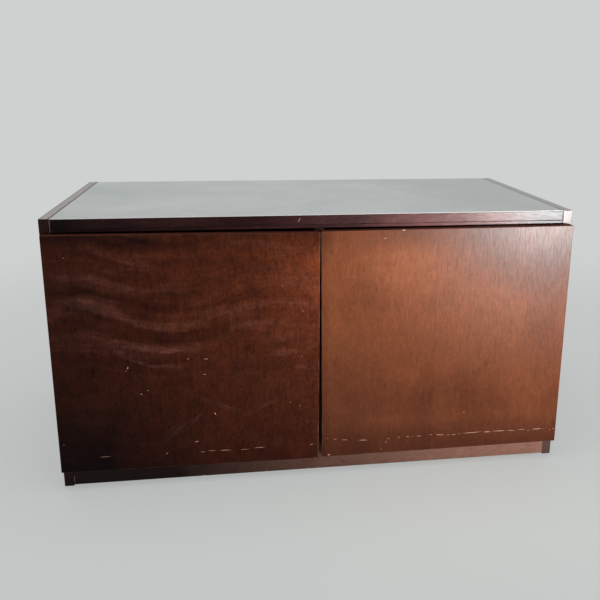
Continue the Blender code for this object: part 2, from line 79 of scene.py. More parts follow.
CARCASS_FRONT = -0.230
CARCASS_BACK = 0.250
CABINET_TOP = 0.530
HALF_WIDTH = 0.500
DOOR_FRONT = -0.250
DOOR_BACK = -0.232
LEFT_PIVOT = (-0.487, -0.236, 0.272)
RIGHT_PIVOT = (0.487, -0.236, 0.272)
LEFT_DROOP = math.radians(0.42)
RIGHT_DROOP = math.radians(-0.25)

Node = bpy.types.Node
Shape = bmesh.types.BMesh
Socket = bpy.types.NodeSocket
Thing = bpy.types.Object
Tree = bpy.types.NodeTree
Ports = bpy.types.NodeOutputs
Pair = tuple[float, float]
Point = tuple[float, float, float]


class Side(Enum):
    """Which half of the cabinet a piece belongs to, seen by someone facing the doors."""

    LEFT = "left"
    RIGHT = "right"

    @property
    def sign(self) -> int:
        """Gives -1 on the viewer's left and +1 on the right."""
        return -1 if self is Side.LEFT else 1


class Grain(Enum):
    """The way that the wood's grain runs on a piece."""

    UPRIGHT = "upright"
    ALONG = "along"


@dataclass(frozen=True)
class Tint:
    """A colour written as sRGB values from 0 to 255."""

    red: float
    green: float
    blue: float

    @property
    def linear(self) -> tuple[float, float, float, float]:
        """Gives the scene-linear colour with full alpha."""
        levels = [value / 255 for value in (self.red, self.green, self.blue)]
        turned = [v / 12.92 if v <= 0.04045 else ((v + 0.055) / 1.055) ** 2.4 for v in levels]
        return (*turned, 1.0)


Feed = Socket | Tint | float | tuple | None
Cells = tuple[Point, float] | tuple[Point, float, float]
Ramp = Pair | tuple[float, float, float, float]
MIDDLE_RAMP: Ramp = (0.3, 0.7)


class NodeBoard:
    """Places nodes in one shader tree and feeds their sockets."""

    def __init__(self, tree: Tree) -> None:
        """Keeps the tree that the nodes go into.

        Args:
            tree: The material's or the effect's node tree.
        """
        self.tree = tree

    def place(self, kind: str, feeds: dict | None = None, **settings: object) -> Node:
        """Adds one node.

        Args:
            kind: Blender's name for the node type.
            feeds: Sockets by name or number, each with a value or a socket to link from.
            **settings: Properties of the node.

        Returns:
            The new node.
        """
        node = self.tree.nodes.new(kind)
        for name, value in settings.items():
            setattr(node, name, value)
        for key, value in (feeds or {}).items():
            self.feed(node.inputs[key], value)
        return node

    def feed(self, socket: Socket, value: Feed) -> None:
        """Links a socket to another one, or sets its value.

        Args:
            socket: The input to feed.
            value: A socket to link from, or a plain value. None leaves the input alone.
        """
        if isinstance(value, Socket):
            self.tree.links.new(value, socket)
        elif isinstance(value, Tint):
            socket.default_value = value.linear
        elif value is not None:
            socket.default_value = value

    def sum(self, operation: str, *numbers: Feed) -> Socket:
        """Gives the result of one Math node.

        Args:
            operation: The Math node's operation.
            *numbers: Its numbers in order.

        Returns:
            The node's output.
        """
        feeds = dict(enumerate(numbers))
        return self.place("ShaderNodeMath", feeds, operation=operation).outputs[0]

    def vector(self, operation: str, *vectors: Feed) -> Socket:
        """Gives the result of one Vector Math node.

        Args:
            operation: The Vector Math node's operation.
            *vectors: Its vectors in order.

        Returns:
            The node's vector output.
        """
        feeds = dict(enumerate(vectors))
        return self.place("ShaderNodeVectorMath", feeds, operation=operation).outputs[0]

    def split(self, vector: Socket) -> tuple[Socket, Socket, Socket]:
        """Gives a vector's three numbers."""
        outputs = self.place("ShaderNodeSeparateXYZ", {0: vector}).outputs
        return outputs[0], outputs[1], outputs[2]

    def merge(self, x: Feed, y: Feed, z: Feed) -> Socket:
        """Gives a vector made of three numbers."""
        return self.place("ShaderNodeCombineXYZ", {0: x, 1: y, 2: z}).outputs[0]

    def ease(
        self, value: Socket, start: Feed, end: Feed, low: Feed = 0.0, high: Feed = 1.0
    ) -> Socket:
        """Turns a number smoothly from low at start to high at end.

        Args:
            value: The number to turn.
            start: Where the result is low.
            end: Where the result is high.
            low: The result up to start.
            high: The result past end.

        Returns:
            The eased number.
        """
        feeds = {"Value": value, "From Min": start, "From Max": end, "To Min": low, "To Max": high}
        node = self.place("ShaderNodeMapRange", feeds, interpolation_type="SMOOTHSTEP")
        return node.outputs["Result"]

    def centred(self, value: Socket) -> Socket:
        """Gives a number from 0 to 1 as its distance from the middle."""
        return self.sum("SUBTRACT", value, 0.5)

    def squared(self, along: Socket, across: Socket) -> Socket:
        """Gives the sum of two numbers' squares."""
        return self.sum("MULTIPLY_ADD", along, along, self.sum("MULTIPLY", across, across))

    def noise(self, vector: Socket, stretch: Feed, detail: float, swirl: float = 0.0) -> Socket:
        """Gives noise from 0 to 1, with its own cells per metre along each axis.

        Args:
            vector: The place on the piece, in metres.
            stretch: Cells per metre along X, Y and Z.
            detail: Octaves.
            swirl: Distortion.

        Returns:
            The noise.
        """
        scaled = self.vector("MULTIPLY", vector, stretch)
        feeds = {"Vector": scaled, "Scale": 1.0, "Detail": detail, "Distortion": swirl}
        return self.place("ShaderNodeTexNoise", feeds).outputs["Fac"]

    def blend(self, share: Feed, first: Feed, second: Feed, how: str = "MIX") -> Socket:
        """Mixes two colours.

        Args:
            share: How much of the second colour, from 0 to 1.
            first: The first colour.
            second: The second colour.
            how: The Mix node's blend type.

        Returns:
            The mixed colour.
        """
        feeds = {0: share, 6: first, 7: second}
        return self.place("ShaderNodeMix", feeds, data_type="RGBA", blend_type=how).outputs[2]

    def effect(self, effect: Effect, **feeds: Feed) -> Node:
        """Places a shared effect with its own values.

        Args:
            effect: Which effect.
            **feeds: Its inputs by name.

        Returns:
            The group node.
        """
        node = self.place("ShaderNodeGroup", node_tree=effect.tree())
        for name, value in feeds.items():
            self.feed(node.inputs[name], value)
        return node


class Effect:
    """A shader node group with named sockets, built once and placed with its own values."""

    title: ClassVar[str]
    takes: ClassVar[dict[str, tuple[str, ...]]]
    gives: ClassVar[dict[str, tuple[str, ...]]]

    def tree(self) -> Tree:
        """Gives the group's tree, built on its first use."""
        known = bpy.data.node_groups.get(self.title)
        return known or self._made()

    def _made(self) -> Tree:
        """Builds the tree with its sockets and inner nodes.

        Returns:
            The finished tree.
        """
        tree = bpy.data.node_groups.new(self.title, "ShaderNodeTree")
        for way, kinds in (("INPUT", self.takes), ("OUTPUT", self.gives)):
            for kind, names in kinds.items():
                for name in names:
                    socket_type = f"NodeSocket{kind}"
                    tree.interface.new_socket(name=name, in_out=way, socket_type=socket_type)
        board = NodeBoard(tree)
        made = self.build(board, board.place("NodeGroupInput").outputs)
        board.place("NodeGroupOutput", made)
        return tree

    def build(self, board: NodeBoard, given: Ports) -> dict[str, Socket]:
        """Places the inner nodes.

        Args:
            board: The group's own board.
            given: The group's inputs by name.

        Returns:
            The group's outputs by name.
        """
        raise NotImplementedError


class VeneerFigure(Effect):
    """Stained veneer: fine streaks and pores along Z, soft clouds, and curls across the grain."""

    title = "Veneer figure"
    takes = {
        "Vector": ("Vector",),
        "Float": ("Seed", "Tone", "Streaks", "Mottle", "Clouds", "Curl", "Bend", "Middle", "Veil"),
        "Color": ("Dark", "Light", "Haze"),
    }
    gives = {"Color": ("Color",), "Float": ("Height",)}

    SEED_STEP: ClassVar[Point] = (1.73, 0.51, 0.37)
    FINE: ClassVar[Cells] = ((560.0, 560.0, 52.0), 4.0)
    LINE: ClassVar[Cells] = ((210.0, 210.0, 24.0), 3.0, 0.2)
    MOTTLE: ClassVar[Cells] = ((170.0, 170.0, 140.0), 3.0, 0.8)
    BLOTCH: ClassVar[Cells] = ((52.0, 52.0, 34.0), 3.0, 0.6)
    CLOUD: ClassVar[Cells] = ((10.0, 10.0, 7.5), 3.0, 0.4)
    PORE: ClassVar[Cells] = ((1500.0, 1500.0, 42.0), 2.0)
    BROAD_CURL: ClassVar[Cells] = ((4.5, 4.5, 30.0), 3.0, 0.7)
    THIN_CURL: ClassVar[Cells] = ((9.0, 9.0, 72.0), 2.0, 0.5)
    PORE_RAMP: ClassVar[Ramp] = (0.58, 0.72)
    CREST_RAMP: ClassVar[Ramp] = (0.47, 0.74, 0.38, 1.0)
    TROUGH_RAMP: ClassVar[Ramp] = (0.30, 0.50, -0.22, 0.0)
    LINE_SHARE: ClassVar[float] = 0.60
    BLOTCH_SHARE: ClassVar[float] = 0.70
    CURL_REST: ClassVar[float] = 0.4
    CURL_SHADE: ClassVar[float] = 0.8
    CURL_VEIL: ClassVar[float] = 0.7
    MOST_VEIL: ClassVar[float] = 0.6
    PORE_SHADE: ClassVar[float] = -0.18
    PORE_DEPTH: ClassVar[float] = -0.7
    FINE_HEIGHT: ClassVar[float] = 0.6
    THIN_SHARE: ClassVar[float] = 0.45
    BOW: ClassVar[float] = 0.14

    def build(self, board: NodeBoard, given: Ports) -> dict[str, Socket]:
        """Places the inner nodes.

        Args:
            board: The group's own board.
            given: The group's inputs by name.

        Returns:
            The stained colour and a height for a bump.
        """
        shift = board.vector("MULTIPLY", board.merge(*[given["Seed"]] * 3), self.SEED_STEP)
        place = board.vector("ADD", given["Vector"], shift)
        fine = board.noise(place, *self.FINE)
        parts = (
            (fine, "Streaks", 1.0),
            (board.noise(place, *self.LINE), "Streaks", self.LINE_SHARE),
            (board.noise(place, *self.MOTTLE), "Mottle", 1.0),
            (board.noise(place, *self.BLOTCH), "Mottle", self.BLOTCH_SHARE),
        )
        shade: Feed = 1.0
        for pattern, share, strength in parts:
            swing = board.sum("MULTIPLY", board.centred(pattern), given[share])
            shade = board.sum("MULTIPLY_ADD", swing, strength, shade)
        drift = board.centred(board.noise(place, *self.CLOUD))
        tone = board.sum("MULTIPLY_ADD", drift, given["Clouds"], given["Tone"])
        curls = board.sum("SUBTRACT", self.curls(board, given, place), self.CURL_REST)
        curls = board.sum("MULTIPLY", curls, given["Curl"])
        tone = board.sum("MULTIPLY_ADD", board.sum("MINIMUM", curls, 0.0), self.CURL_SHADE, tone)
        tone = board.sum("MAXIMUM", board.sum("MINIMUM", tone, 1.0), 0.0)
        pale = board.sum("MAXIMUM", curls, 0.0)
        veil = board.sum("MULTIPLY_ADD", pale, self.CURL_VEIL, given["Veil"])
        veil = board.sum("MAXIMUM", board.sum("MINIMUM", veil, self.MOST_VEIL), 0.0)
        pore = board.ease(board.noise(place, *self.PORE), *self.PORE_RAMP)
        pored = board.sum("MULTIPLY", board.sum("MULTIPLY_ADD", pore, self.PORE_SHADE, 1.0), shade)
        stain = board.blend(veil, board.blend(tone, given["Dark"], given["Light"]), given["Haze"])
        colour = board.vector("SCALE", stain)
        board.feed(colour.node.inputs["Scale"], pored)
        relief = board.sum("MULTIPLY", fine, self.FINE_HEIGHT)
        return {"Color": colour, "Height": board.sum("MULTIPLY_ADD", pore, self.PORE_DEPTH, relief)}

    def curls(self, board: NodeBoard, given: Ports, place: Socket) -> Socket:
        """Places the pale curls that cross the grain in bowed bands.

        Args:
            board: The group's own board.
            given: The group's inputs by name.
            place: The shifted place on the piece.

        Returns:
            The curls, about 0.4 where there are none.
        """
        x, y, z = board.split(place)
        aside = board.sum("ABSOLUTE", board.sum("SUBTRACT", x, given["Middle"]))
        aside = board.sum("MINIMUM", aside, self.BOW)
        sag = board.sum("MULTIPLY", board.sum("MULTIPLY", aside, aside), given["Bend"])
        bowed = board.merge(x, y, board.sum("SUBTRACT", z, sag))
        broad = board.noise(bowed, *self.BROAD_CURL)
        thin = board.centred(board.noise(bowed, *self.THIN_CURL))
        crest = board.ease(broad, *self.CREST_RAMP)
        rippled = board.sum("MULTIPLY_ADD", thin, self.THIN_SHARE, crest)
        return board.sum("ADD", rippled, board.ease(broad, *self.TROUGH_RAMP))


class Wisp(Effect):
    """One bowed band of figure: a ripple in the wood that shines paler or darker than the rest."""

    title = "Wisp"
    takes = {
        "Float": ("X", "Z", "Half Length", "Half Width", "Slope", "Bow", "Wobble", "Strength"),
    }
    gives = {"Float": ("Tone",)}

    RISE: ClassVar[Ramp] = (-0.9, 0.0)
    FALL: ClassVar[Ramp] = (0.0, 1.9, 1.0, 0.0)
    FADE: ClassVar[Ramp] = (0.25, 1.1, 1.0, 0.0)

    def build(self, board: NodeBoard, given: Ports) -> dict[str, Socket]:
        """Places the inner nodes.

        Args:
            board: The group's own board.
            given: The group's inputs by name, with the place measured from the band's middle.

        Returns:
            How much the band lifts or lowers the tone.
        """
        x, z = given["X"], given["Z"]
        steep = board.sum("MULTIPLY_ADD", x, given["Bow"], given["Slope"])
        off = board.sum("SUBTRACT", z, board.sum("MULTIPLY", steep, x))
        across = board.sum("ADD", board.sum("DIVIDE", off, given["Half Width"]), given["Wobble"])
        along = board.sum("DIVIDE", board.sum("ABSOLUTE", x), given["Half Length"])
        rise, fall = board.ease(across, *self.RISE), board.ease(across, *self.FALL)
        ridge = board.sum("MULTIPLY", rise, fall)
        band = board.sum("MULTIPLY", ridge, board.ease(along, *self.FADE))
        return {"Tone": board.sum("MULTIPLY", band, given["Strength"])}


class ArrisMask(Effect):
    """The arrises of a box-shaped piece, from its two far corners, as a mask for rubbed wear and
    for painted highlight and shade lines.
    """

    title = "Edge wear"
    takes = {
        "Vector": ("Vector", "Low", "High"),
        "Float": ("Width",),
    }
    gives = {"Float": ("Mask",)}

    UNEVEN: ClassVar[Cells] = ((30.0, 30.0, 30.0), 4.0)
    REACH_RAMP: ClassVar[Ramp] = (0.35, 0.75, 0.25, 1.6)
    SOLID_SHARE: ClassVar[float] = 0.5

    def build(self, board: NodeBoard, given: Ports) -> dict[str, Socket]:
        """Places the inner nodes.

        Args:
            board: The group's own board.
            given: The group's inputs by name.

        Returns:
            A mask that is 1 along the arrises.
        """
        from_low = board.vector("SUBTRACT", given["Vector"], given["Low"])
        from_high = board.vector("SUBTRACT", given["High"], given["Vector"])
        x, y, z = board.split(board.vector("MINIMUM", from_low, from_high))
        nearer, farther = board.sum("MINIMUM", x, y), board.sum("MAXIMUM", x, y)
        second = board.sum("MAXIMUM", nearer, board.sum("MINIMUM", farther, z))
        uneven = board.noise(given["Vector"], *self.UNEVEN)
        reach = board.sum("MULTIPLY", given["Width"], board.ease(uneven, *self.REACH_RAMP))
        solid = board.sum("MULTIPLY", reach, self.SOLID_SHARE)
        return {"Mask": board.ease(second, solid, reach, 1.0, 0.0)}


class RubMark(Effect):
    """A faint scuff of fine parallel lines on an upright face, in an oval about one point."""

    title = "Rub mark"
    takes = {
        "Vector": ("Vector", "Centre"),
        "Float": ("Turn", "Length", "Width"),
    }
    gives = {"Float": ("Mask",)}

    HAIRLINES: ClassVar[Cells] = ((16.0, 40.0, 520.0), 3.0)
    HAIRLINE_RAMP: ClassVar[Ramp] = (0.42, 0.68)
    OVAL_RAMP: ClassVar[Ramp] = (0.05, 1.0, 1.0, 0.0)

    def build(self, board: NodeBoard, given: Ports) -> dict[str, Socket]:
        """Places the inner nodes.

        Args:
            board: The group's own board.
            given: The group's inputs by name.

        Returns:
            A mask that is 1 where the lacquer is scuffed.
        """
        away = board.vector("SUBTRACT", given["Vector"], given["Centre"])
        feeds = {"Vector": away, "Angle": given["Turn"]}
        turned = board.place("ShaderNodeVectorRotate", feeds, rotation_type="Y_AXIS").outputs[0]
        x, _, z = board.split(turned)
        along = board.sum("DIVIDE", x, given["Length"])
        across = board.sum("DIVIDE", z, given["Width"])
        oval = board.ease(board.squared(along, across), *self.OVAL_RAMP)
        lines = board.ease(board.noise(turned, *self.HAIRLINES), *self.HAIRLINE_RAMP)
        return {"Mask": board.sum("MULTIPLY", oval, lines)}


class Handling(Effect):
    """Uneven gloss: smudges and a fine grit."""

    title = "Handling"
    takes = {
        "Vector": ("Vector",),
        "Float": ("Base", "Spread", "Cells"),
    }
    gives = {"Float": ("Roughness",)}

    SMUDGE: ClassVar[Pair] = (4.0, 0.6)
    SMUDGE_SHARE: ClassVar[float] = 2.0
    GRIT: ClassVar[Cells] = ((900.0, 900.0, 900.0), 2.0)
    GRIT_SHARE: ClassVar[float] = 0.6

    def build(self, board: NodeBoard, given: Ports) -> dict[str, Socket]:
        """Places the inner nodes.

        Args:
            board: The group's own board.
            given: The group's inputs by name.

        Returns:
            The roughness.
        """
        cells = board.merge(*[given["Cells"]] * 3)
        smudge = board.centred(board.noise(given["Vector"], cells, *self.SMUDGE))
        grit = board.centred(board.noise(given["Vector"], *self.GRIT))
        uneven = board.sum("MULTIPLY", smudge, self.SMUDGE_SHARE)
        gritty = board.sum("MULTIPLY_ADD", grit, self.GRIT_SHARE, uneven)
        return {"Roughness": board.sum("MULTIPLY_ADD", gritty, given["Spread"], given["Base"])}


VENEER_FIGURE = VeneerFigure()
WISP = Wisp()
ARRIS_MASK = ArrisMask()
RUB_MARK = RubMark()
HANDLING = Handling()


@dataclass(frozen=True)
class Rub:
    """A scuff on a door's face: its middle, its lean in degrees, its half length and half width."""

    x: float
    z: float
    lean: float
    length: float
    width: float


@dataclass(frozen=True)
class Patch:
    """A soft oval on the face where the curly figure and the tone change by so much."""

    x: float
    z: float
    across: float
    up: float
    curl: float = 0.0
    tone: float = 0.0


@dataclass(frozen=True)
class Ripple:
    """A band of figure: middle, half length and width, slope and bow there, and change of tone."""

    x: float
    z: float
    length: float
    width: float
    slope: float
    bow: float
    tone: float


@dataclass(frozen=True)
class Polish:
    """A soft oval where the lacquer has kept its shine: middle, half width, half height, share."""

    x: float
    z: float
    across: float
    up: float
    share: float


@dataclass(frozen=True)
class Touch:
    """How rough a surface is, by how much that varies, and the cells of it per metre."""

    base: float
    spread: float
    cells: float


@dataclass(frozen=True)
class Leaf:
    """A leaf of veneer that starts at a seam: how far along the cabinet, and its change of tone."""

    start: float
    tone: float


@dataclass(frozen=True)
class ArrisWearAndLight:
    """A tint along a box-shaped piece's arrises, and how it looks: rubbed wear on some pieces,
    painted highlights and painted shade lines on others.
    """

    low: Point
    high: Point
    width: float
    strength: float
    tint: Tint


class Surface(NodeBoard):
    """The board of one material, with its shader and the place on the piece."""

    def __init__(self, tree: Tree) -> None:
        """Finds the shader, and starts from the place on the piece in metres at rest.

        Args:
            tree: The material's node tree.
        """
        super().__init__(tree)
        self.shader = tree.nodes["Principled BSDF"]
        self.where = self.place("ShaderNodeTexCoord").outputs["Object"]

    @cached_property
    def axes(self) -> tuple[Socket, Socket, Socket]:
        """Gives the place's distance along the cabinet, its depth and its height."""
        return self.split(self.where)

    def give(self, name: str, value: Feed) -> None:
        """Feeds one of the shader's sockets."""
        self.feed(self.shader.inputs[name], value)

    def bump(self, height: Socket, depth: float) -> None:
        """Gives the shader a bumped normal.

        Args:
            height: The height from 0 to 1.
            depth: What a height of 1 stands for, in metres.
        """
        feeds = {"Height": height, "Distance": depth, "Strength": 1.0}
        self.give("Normal", self.place("ShaderNodeBump", feeds).outputs["Normal"])

    def gloss(self, touch: Touch) -> Socket:
        """Gives an uneven roughness.

        Args:
            touch: The roughness and how it varies.

        Returns:
            The roughness.
        """
        feeds = {"Base": touch.base, "Spread": touch.spread, "Cells": touch.cells}
        return self.effect(HANDLING, Vector=self.where, **feeds).outputs["Roughness"]


class Finish:
    """A material, made on first use and shared by all the pieces that take it."""

    name: str

    def material(self) -> bpy.types.Material:
        """Gives the material, built on its first use."""
        known = bpy.data.materials.get(self.name)
        return known or self._made()

    def _made(self) -> bpy.types.Material:
        """Builds the material round a Principled shader.

        Returns:
            The finished material.
        """
        made = bpy.data.materials.new(self.name)
        made.use_nodes = True
        self.dress(Surface(made.node_tree))
        return made

    def dress(self, face: Surface) -> None:
        """Places the nodes that feed the shader.

        Args:
            face: The material's surface.
        """
        raise NotImplementedError


@dataclass(frozen=True)
class Veneer(Finish):
    """Stained and lacquered veneer."""

    name: str
    dark: Tint
    light: Tint
    grain: Grain = Grain.UPRIGHT
    seed: float = 0.0
    streaks: float = 0.5
    mottle: float = 0.6
    clouds: float = 0.3
    curl: float = 0.0
    haze: Tint = Tint(142, 88, 76)
    patches: tuple[Patch, ...] = ()
    ripples: tuple[Ripple, ...] = ()
    bend: float = 0.0
    middle: float = 0.0
    tone: float = 0.5
    # lean and rise slope the tone along X and up Z: painted light and shade, paler towards the
    # lamps on the right and above
    lean: float = 0.0
    rise: float = 0.0
    centre: Pair = (0.0, 0.272)
    leaves: tuple[Leaf, ...] = ()
    roughness: float = 0.36
    spread: float = 0.06
    gloss: float = 0.30
    arris_wear_and_light: tuple[ArrisWearAndLight, ...] = ()
    rubs: tuple[Rub, ...] = ()
    pivot: Point = (0.0, 0.0, 0.0)
    droop: float = 0.0
    relief: float = 0.00008
    # a grey painted reflection on a side panel's top edge, standing in for pale surroundings seen
    # in its gloss
    painted_top_reflection: Tint | None = None
    front: Tint | None = None
    polish: Polish | None = None
    coat_roughness: float = 0.29

    SMUDGES: ClassVar[float] = 12.0
    SEAM_HALF_WIDTH: ClassVar[float] = 0.0006
    SEAM_SHARE: ClassVar[float] = 0.35
    LEAF_STEP: ClassVar[float] = 0.031
    JOINT_TINT: ClassVar[Tint] = Tint(62, 54, 50)
    RUB_TINT: ClassVar[Tint] = Tint(168, 128, 116)
    RUB_SHARE: ClassVar[float] = 0.22
    RUB_ROUGHNESS: ClassVar[float] = 0.18
    FRONT_RAMP: ClassVar[Ramp] = (CARCASS_FRONT + 0.0004, CARCASS_FRONT + 0.0010, 0.88, 0.0)
    STREAK_RAMP: ClassVar[Ramp] = (0.12, 0.42)
    STREAK_SHARE: ClassVar[float] = 0.58
    SWAY: ClassVar[Cells] = ((26.0, 26.0, 60.0), 2.0)
    SWAY_SHARE: ClassVar[float] = 2.6
    BREAKS: ClassVar[Cells] = ((34.0, 34.0, 100.0), 4.0)
    BREAK_RAMP: ClassVar[Ramp] = (0.34, 0.64, 0.20, 1.20)
    TOP_RAMP: ClassVar[Ramp] = (CABINET_TOP - 0.0007, CABINET_TOP - 0.0003, 0.0, 0.92)
    INNER_RAMP: ClassVar[Ramp] = (HALF_WIDTH - 0.0162, HALF_WIDTH - 0.0144, 0.95, 0.0)
    OUTER_RAMP: ClassVar[Ramp] = (HALF_WIDTH - 0.0034, HALF_WIDTH - 0.0016, 0.0, 0.95)

    def dress(self, face: Surface) -> None:
        """Places the stain, the seams, the scuffs, the worn arrises, and painted light: sloped
        tone, arris highlights and shade lines, and grey top reflections.

        Args:
            face: The material's surface.
        """
        if self.droop:
            feeds = {"Vector": face.where, "Center": self.pivot, "Angle": -self.droop}
            hung = face.place("ShaderNodeVectorRotate", feeds, rotation_type="Y_AXIS")
            face.where = hung.outputs[0]
        x, y, z = face.axes
        turned = (x, y, z) if self.grain is Grain.UPRIGHT else (z, y, x)
        seed, tone, line = self.matched(face)
        curl, tone = self.patched(face, tone)
        tone, veil = self.rippled(face, tone)
        figure = face.effect(
            VENEER_FIGURE,
            Vector=face.merge(*turned),
            Seed=seed,
            Tone=tone,
            Dark=self.dark,
            Light=self.light,
            Streaks=self.streaks,
            Mottle=self.mottle,
            Clouds=self.clouds,
            Curl=curl,
            Bend=self.bend,
            Middle=face.sum("MULTIPLY_ADD", seed, VeneerFigure.SEED_STEP[0], self.middle),
            Veil=veil,
            Haze=self.haze,
        )
        seams = face.sum("MULTIPLY", line, self.SEAM_SHARE)
        colour = face.blend(seams, figure.outputs["Color"], self.dark)
        roughness = face.gloss(Touch(self.roughness, self.spread, self.SMUDGES))
        colour, roughness = self.rubbed(face, colour, roughness)
        kept: Feed = 1.0
        # arris tints: rubbed wear on some finishes, painted highlights and painted shade lines on
        # others
        for arris_wear_and_light in self.arris_wear_and_light:
            feeds = {"Low": arris_wear_and_light.low, "High": arris_wear_and_light.high, "Width": arris_wear_and_light.width}
            arris_tint_mask = face.effect(ARRIS_MASK, Vector=face.where, **feeds).outputs["Mask"]
            colour = face.blend(face.sum("MULTIPLY", arris_tint_mask, arris_wear_and_light.strength), colour, arris_wear_and_light.tint)
            kept = face.sum("MULTIPLY", kept, face.sum("SUBTRACT", 1.0, arris_tint_mask))
        # painted reflection: the side panel's top edge turns grey
        if self.painted_top_reflection:
            colour = self.paint_top_reflection(face, colour)
        if self.front:
            colour = face.blend(face.ease(y, *self.FRONT_RAMP), colour, self.front)
        face.give("Base Color", colour)
        face.give("Roughness", roughness)
        face.give("Specular IOR Level", self.gloss)
        if self.polish:
            shares = (self.STREAK_SHARE * self.polish.share, self.polish.share)
            streaked = face.ease(figure.outputs["Height"], *self.STREAK_RAMP, *shares)
            shine = face.sum("MULTIPLY", self.oval(face, self.polish), kept)
            face.give("Coat Weight", face.sum("MULTIPLY", shine, streaked))
            face.give("Coat Roughness", self.coat_roughness)
        face.bump(figure.outputs["Height"], self.relief)

    def rubbed(self, face: Surface, colour: Socket, roughness: Socket) -> tuple[Socket, Socket]:
        """Scuffs the lacquer, which turns paler and duller there.

        Args:
            face: The material's surface.
            colour: The colour so far.
            roughness: The roughness so far.

        Returns:
            The colour and the roughness.
        """
        for rub in self.rubs:
            feeds = {
                "Vector": face.where,
                "Centre": (rub.x, CARCASS_FRONT, rub.z),
                "Turn": math.radians(rub.lean),
                "Length": rub.length,
                "Width": rub.width,
            }
            mark = face.effect(RUB_MARK, **feeds).outputs["Mask"]
            colour = face.blend(face.sum("MULTIPLY", mark, self.RUB_SHARE), colour, self.RUB_TINT)
            roughness = face.sum("MULTIPLY_ADD", mark, self.RUB_ROUGHNESS, roughness)
        return colour, roughness

    def matched(self, face: Surface) -> tuple[Feed, Socket, Feed]:
        """Parts the face into leaves of veneer, each with its own cut and tone.

        Args:
            face: The material's surface.

        Returns:
            The seed of the leaf, its tone and a mask of the seams.
        """
        x, _, z = face.axes
        # the sloped tone is painted light and shade, paler towards the lamps
        along = face.sum("MULTIPLY", face.sum("SUBTRACT", x, self.centre[0]), self.lean)
        up = face.sum("MULTIPLY", face.sum("SUBTRACT", z, self.centre[1]), self.rise)
        tone = face.sum("ADD", face.sum("ADD", along, up), self.tone)
        seed: Feed = self.seed
        line: Feed = 0.0
        for leaf in self.leaves:
            past = face.sum("GREATER_THAN", x, leaf.start)
            seed = face.sum("MULTIPLY_ADD", past, self.LEAF_STEP, seed)
            tone = face.sum("MULTIPLY_ADD", past, leaf.tone, tone)
            off = face.sum("ABSOLUTE", face.sum("SUBTRACT", x, leaf.start))
            line = face.sum("MAXIMUM", line, face.ease(off, 0.0, self.SEAM_HALF_WIDTH, 1.0, 0.0))
        return seed, tone, line

    def patched(self, face: Surface, tone: Socket) -> tuple[Feed, Socket]:
        """Adds the soft ovals to the strength of the curly figure and to the tone.

        Args:
            face: The material's surface.
            tone: The tone so far.

        Returns:
            The strength of the figure and the tone.
        """
        curl: Feed = self.curl
        for spot in self.patches:
            oval = self.oval(face, spot)
            curl = face.sum("MULTIPLY_ADD", oval, spot.curl, curl)
            tone = face.sum("MULTIPLY_ADD", oval, spot.tone, tone)
        return curl, tone

    @staticmethod
    def oval(face: Surface, spot: Patch | Polish) -> Socket:
        """Gives a mask that is 1 in the middle of a soft oval and 0 outside it.

        Args:
            face: The material's surface.
            spot: The oval.

        Returns:
            The mask.
        """
        x, _, z = face.axes
        along = face.sum("DIVIDE", face.sum("SUBTRACT", x, spot.x), spot.across)
        up = face.sum("DIVIDE", face.sum("SUBTRACT", z, spot.z), spot.up)
        return face.ease(face.squared(along, up), 0.0, 1.0, 1.0, 0.0)

    def rippled(self, face: Surface, tone: Socket) -> tuple[Socket, Feed]:
        """Adds the single bands of figure: the pale ones to a veil, the dark ones to the tone.

        Args:
            face: The material's surface.
            tone: The tone so far.

        Returns:
            The tone and the veil.
        """
        if not self.ripples:
            return tone, 0.0
        x, _, z = face.axes
        place = face.merge(x, 0.0, z)
        swing = face.centred(face.noise(place, *self.SWAY))
        wobble = face.sum("MULTIPLY", swing, self.SWAY_SHARE)
        broken = face.ease(face.noise(place, *self.BREAKS), *self.BREAK_RAMP)
        veil: Feed = 0.0
        for band in self.ripples:
            feeds = {
                "X": face.sum("SUBTRACT", x, band.x),
                "Z": face.sum("SUBTRACT", z, band.z),
                "Half Length": band.length,
                "Half Width": band.width,
                "Slope": band.slope,
                "Bow": band.bow,
                "Wobble": wobble,
                "Strength": band.tone,
            }
            shift = face.effect(WISP, **feeds).outputs["Tone"]
            if band.tone > 0.0:
                veil = face.sum("ADD", veil, shift)
            else:
                tone = face.sum("ADD", tone, shift)
        return tone, face.sum("MULTIPLY", veil, broken)

    def paint_top_reflection(self, face: Surface, colour: Socket) -> Socket:
        """Paints a grey reflection onto the top edge of a side panel, with dark lines along its two
        arrises.

        Args:
            face: The material's surface.
            colour: The colour so far.

        Returns:
            The colour.
        """
        x, _, z = face.axes
        out = face.sum("ABSOLUTE", x)
        inner, outer = face.ease(out, *self.INNER_RAMP), face.ease(out, *self.OUTER_RAMP)
        top = face.blend(face.sum("MAXIMUM", inner, outer), self.painted_top_reflection, self.JOINT_TINT)
        return face.blend(face.ease(z, *self.TOP_RAMP), colour, top)


@dataclass(frozen=True)
class RawWood(Finish):
    """Bare wood fibre, where the lacquer and stain are knocked off; in pale tints it also paints a
    highlight line in a joint.
    """

    name: str = "raw_wood"
    pale: Tint = Tint(240, 204, 182)
    deep: Tint = Tint(200, 149, 123)

    FIBRE: ClassVar[Cells] = ((900.0, 900.0, 160.0), 3.0)
    ROUGHNESS: ClassVar[float] = 0.8
    RELIEF: ClassVar[float] = 0.0002

    def dress(self, face: Surface) -> None:
        """Places short fibres of two tones.

        Args:
            face: The material's surface.
        """
        fibre = face.noise(face.where, *self.FIBRE)
        colour = face.blend(face.ease(fibre, *MIDDLE_RAMP), self.deep, self.pale)
        face.give("Base Color", colour)
        face.give("Roughness", self.ROUGHNESS)
        face.bump(fibre, self.RELIEF)


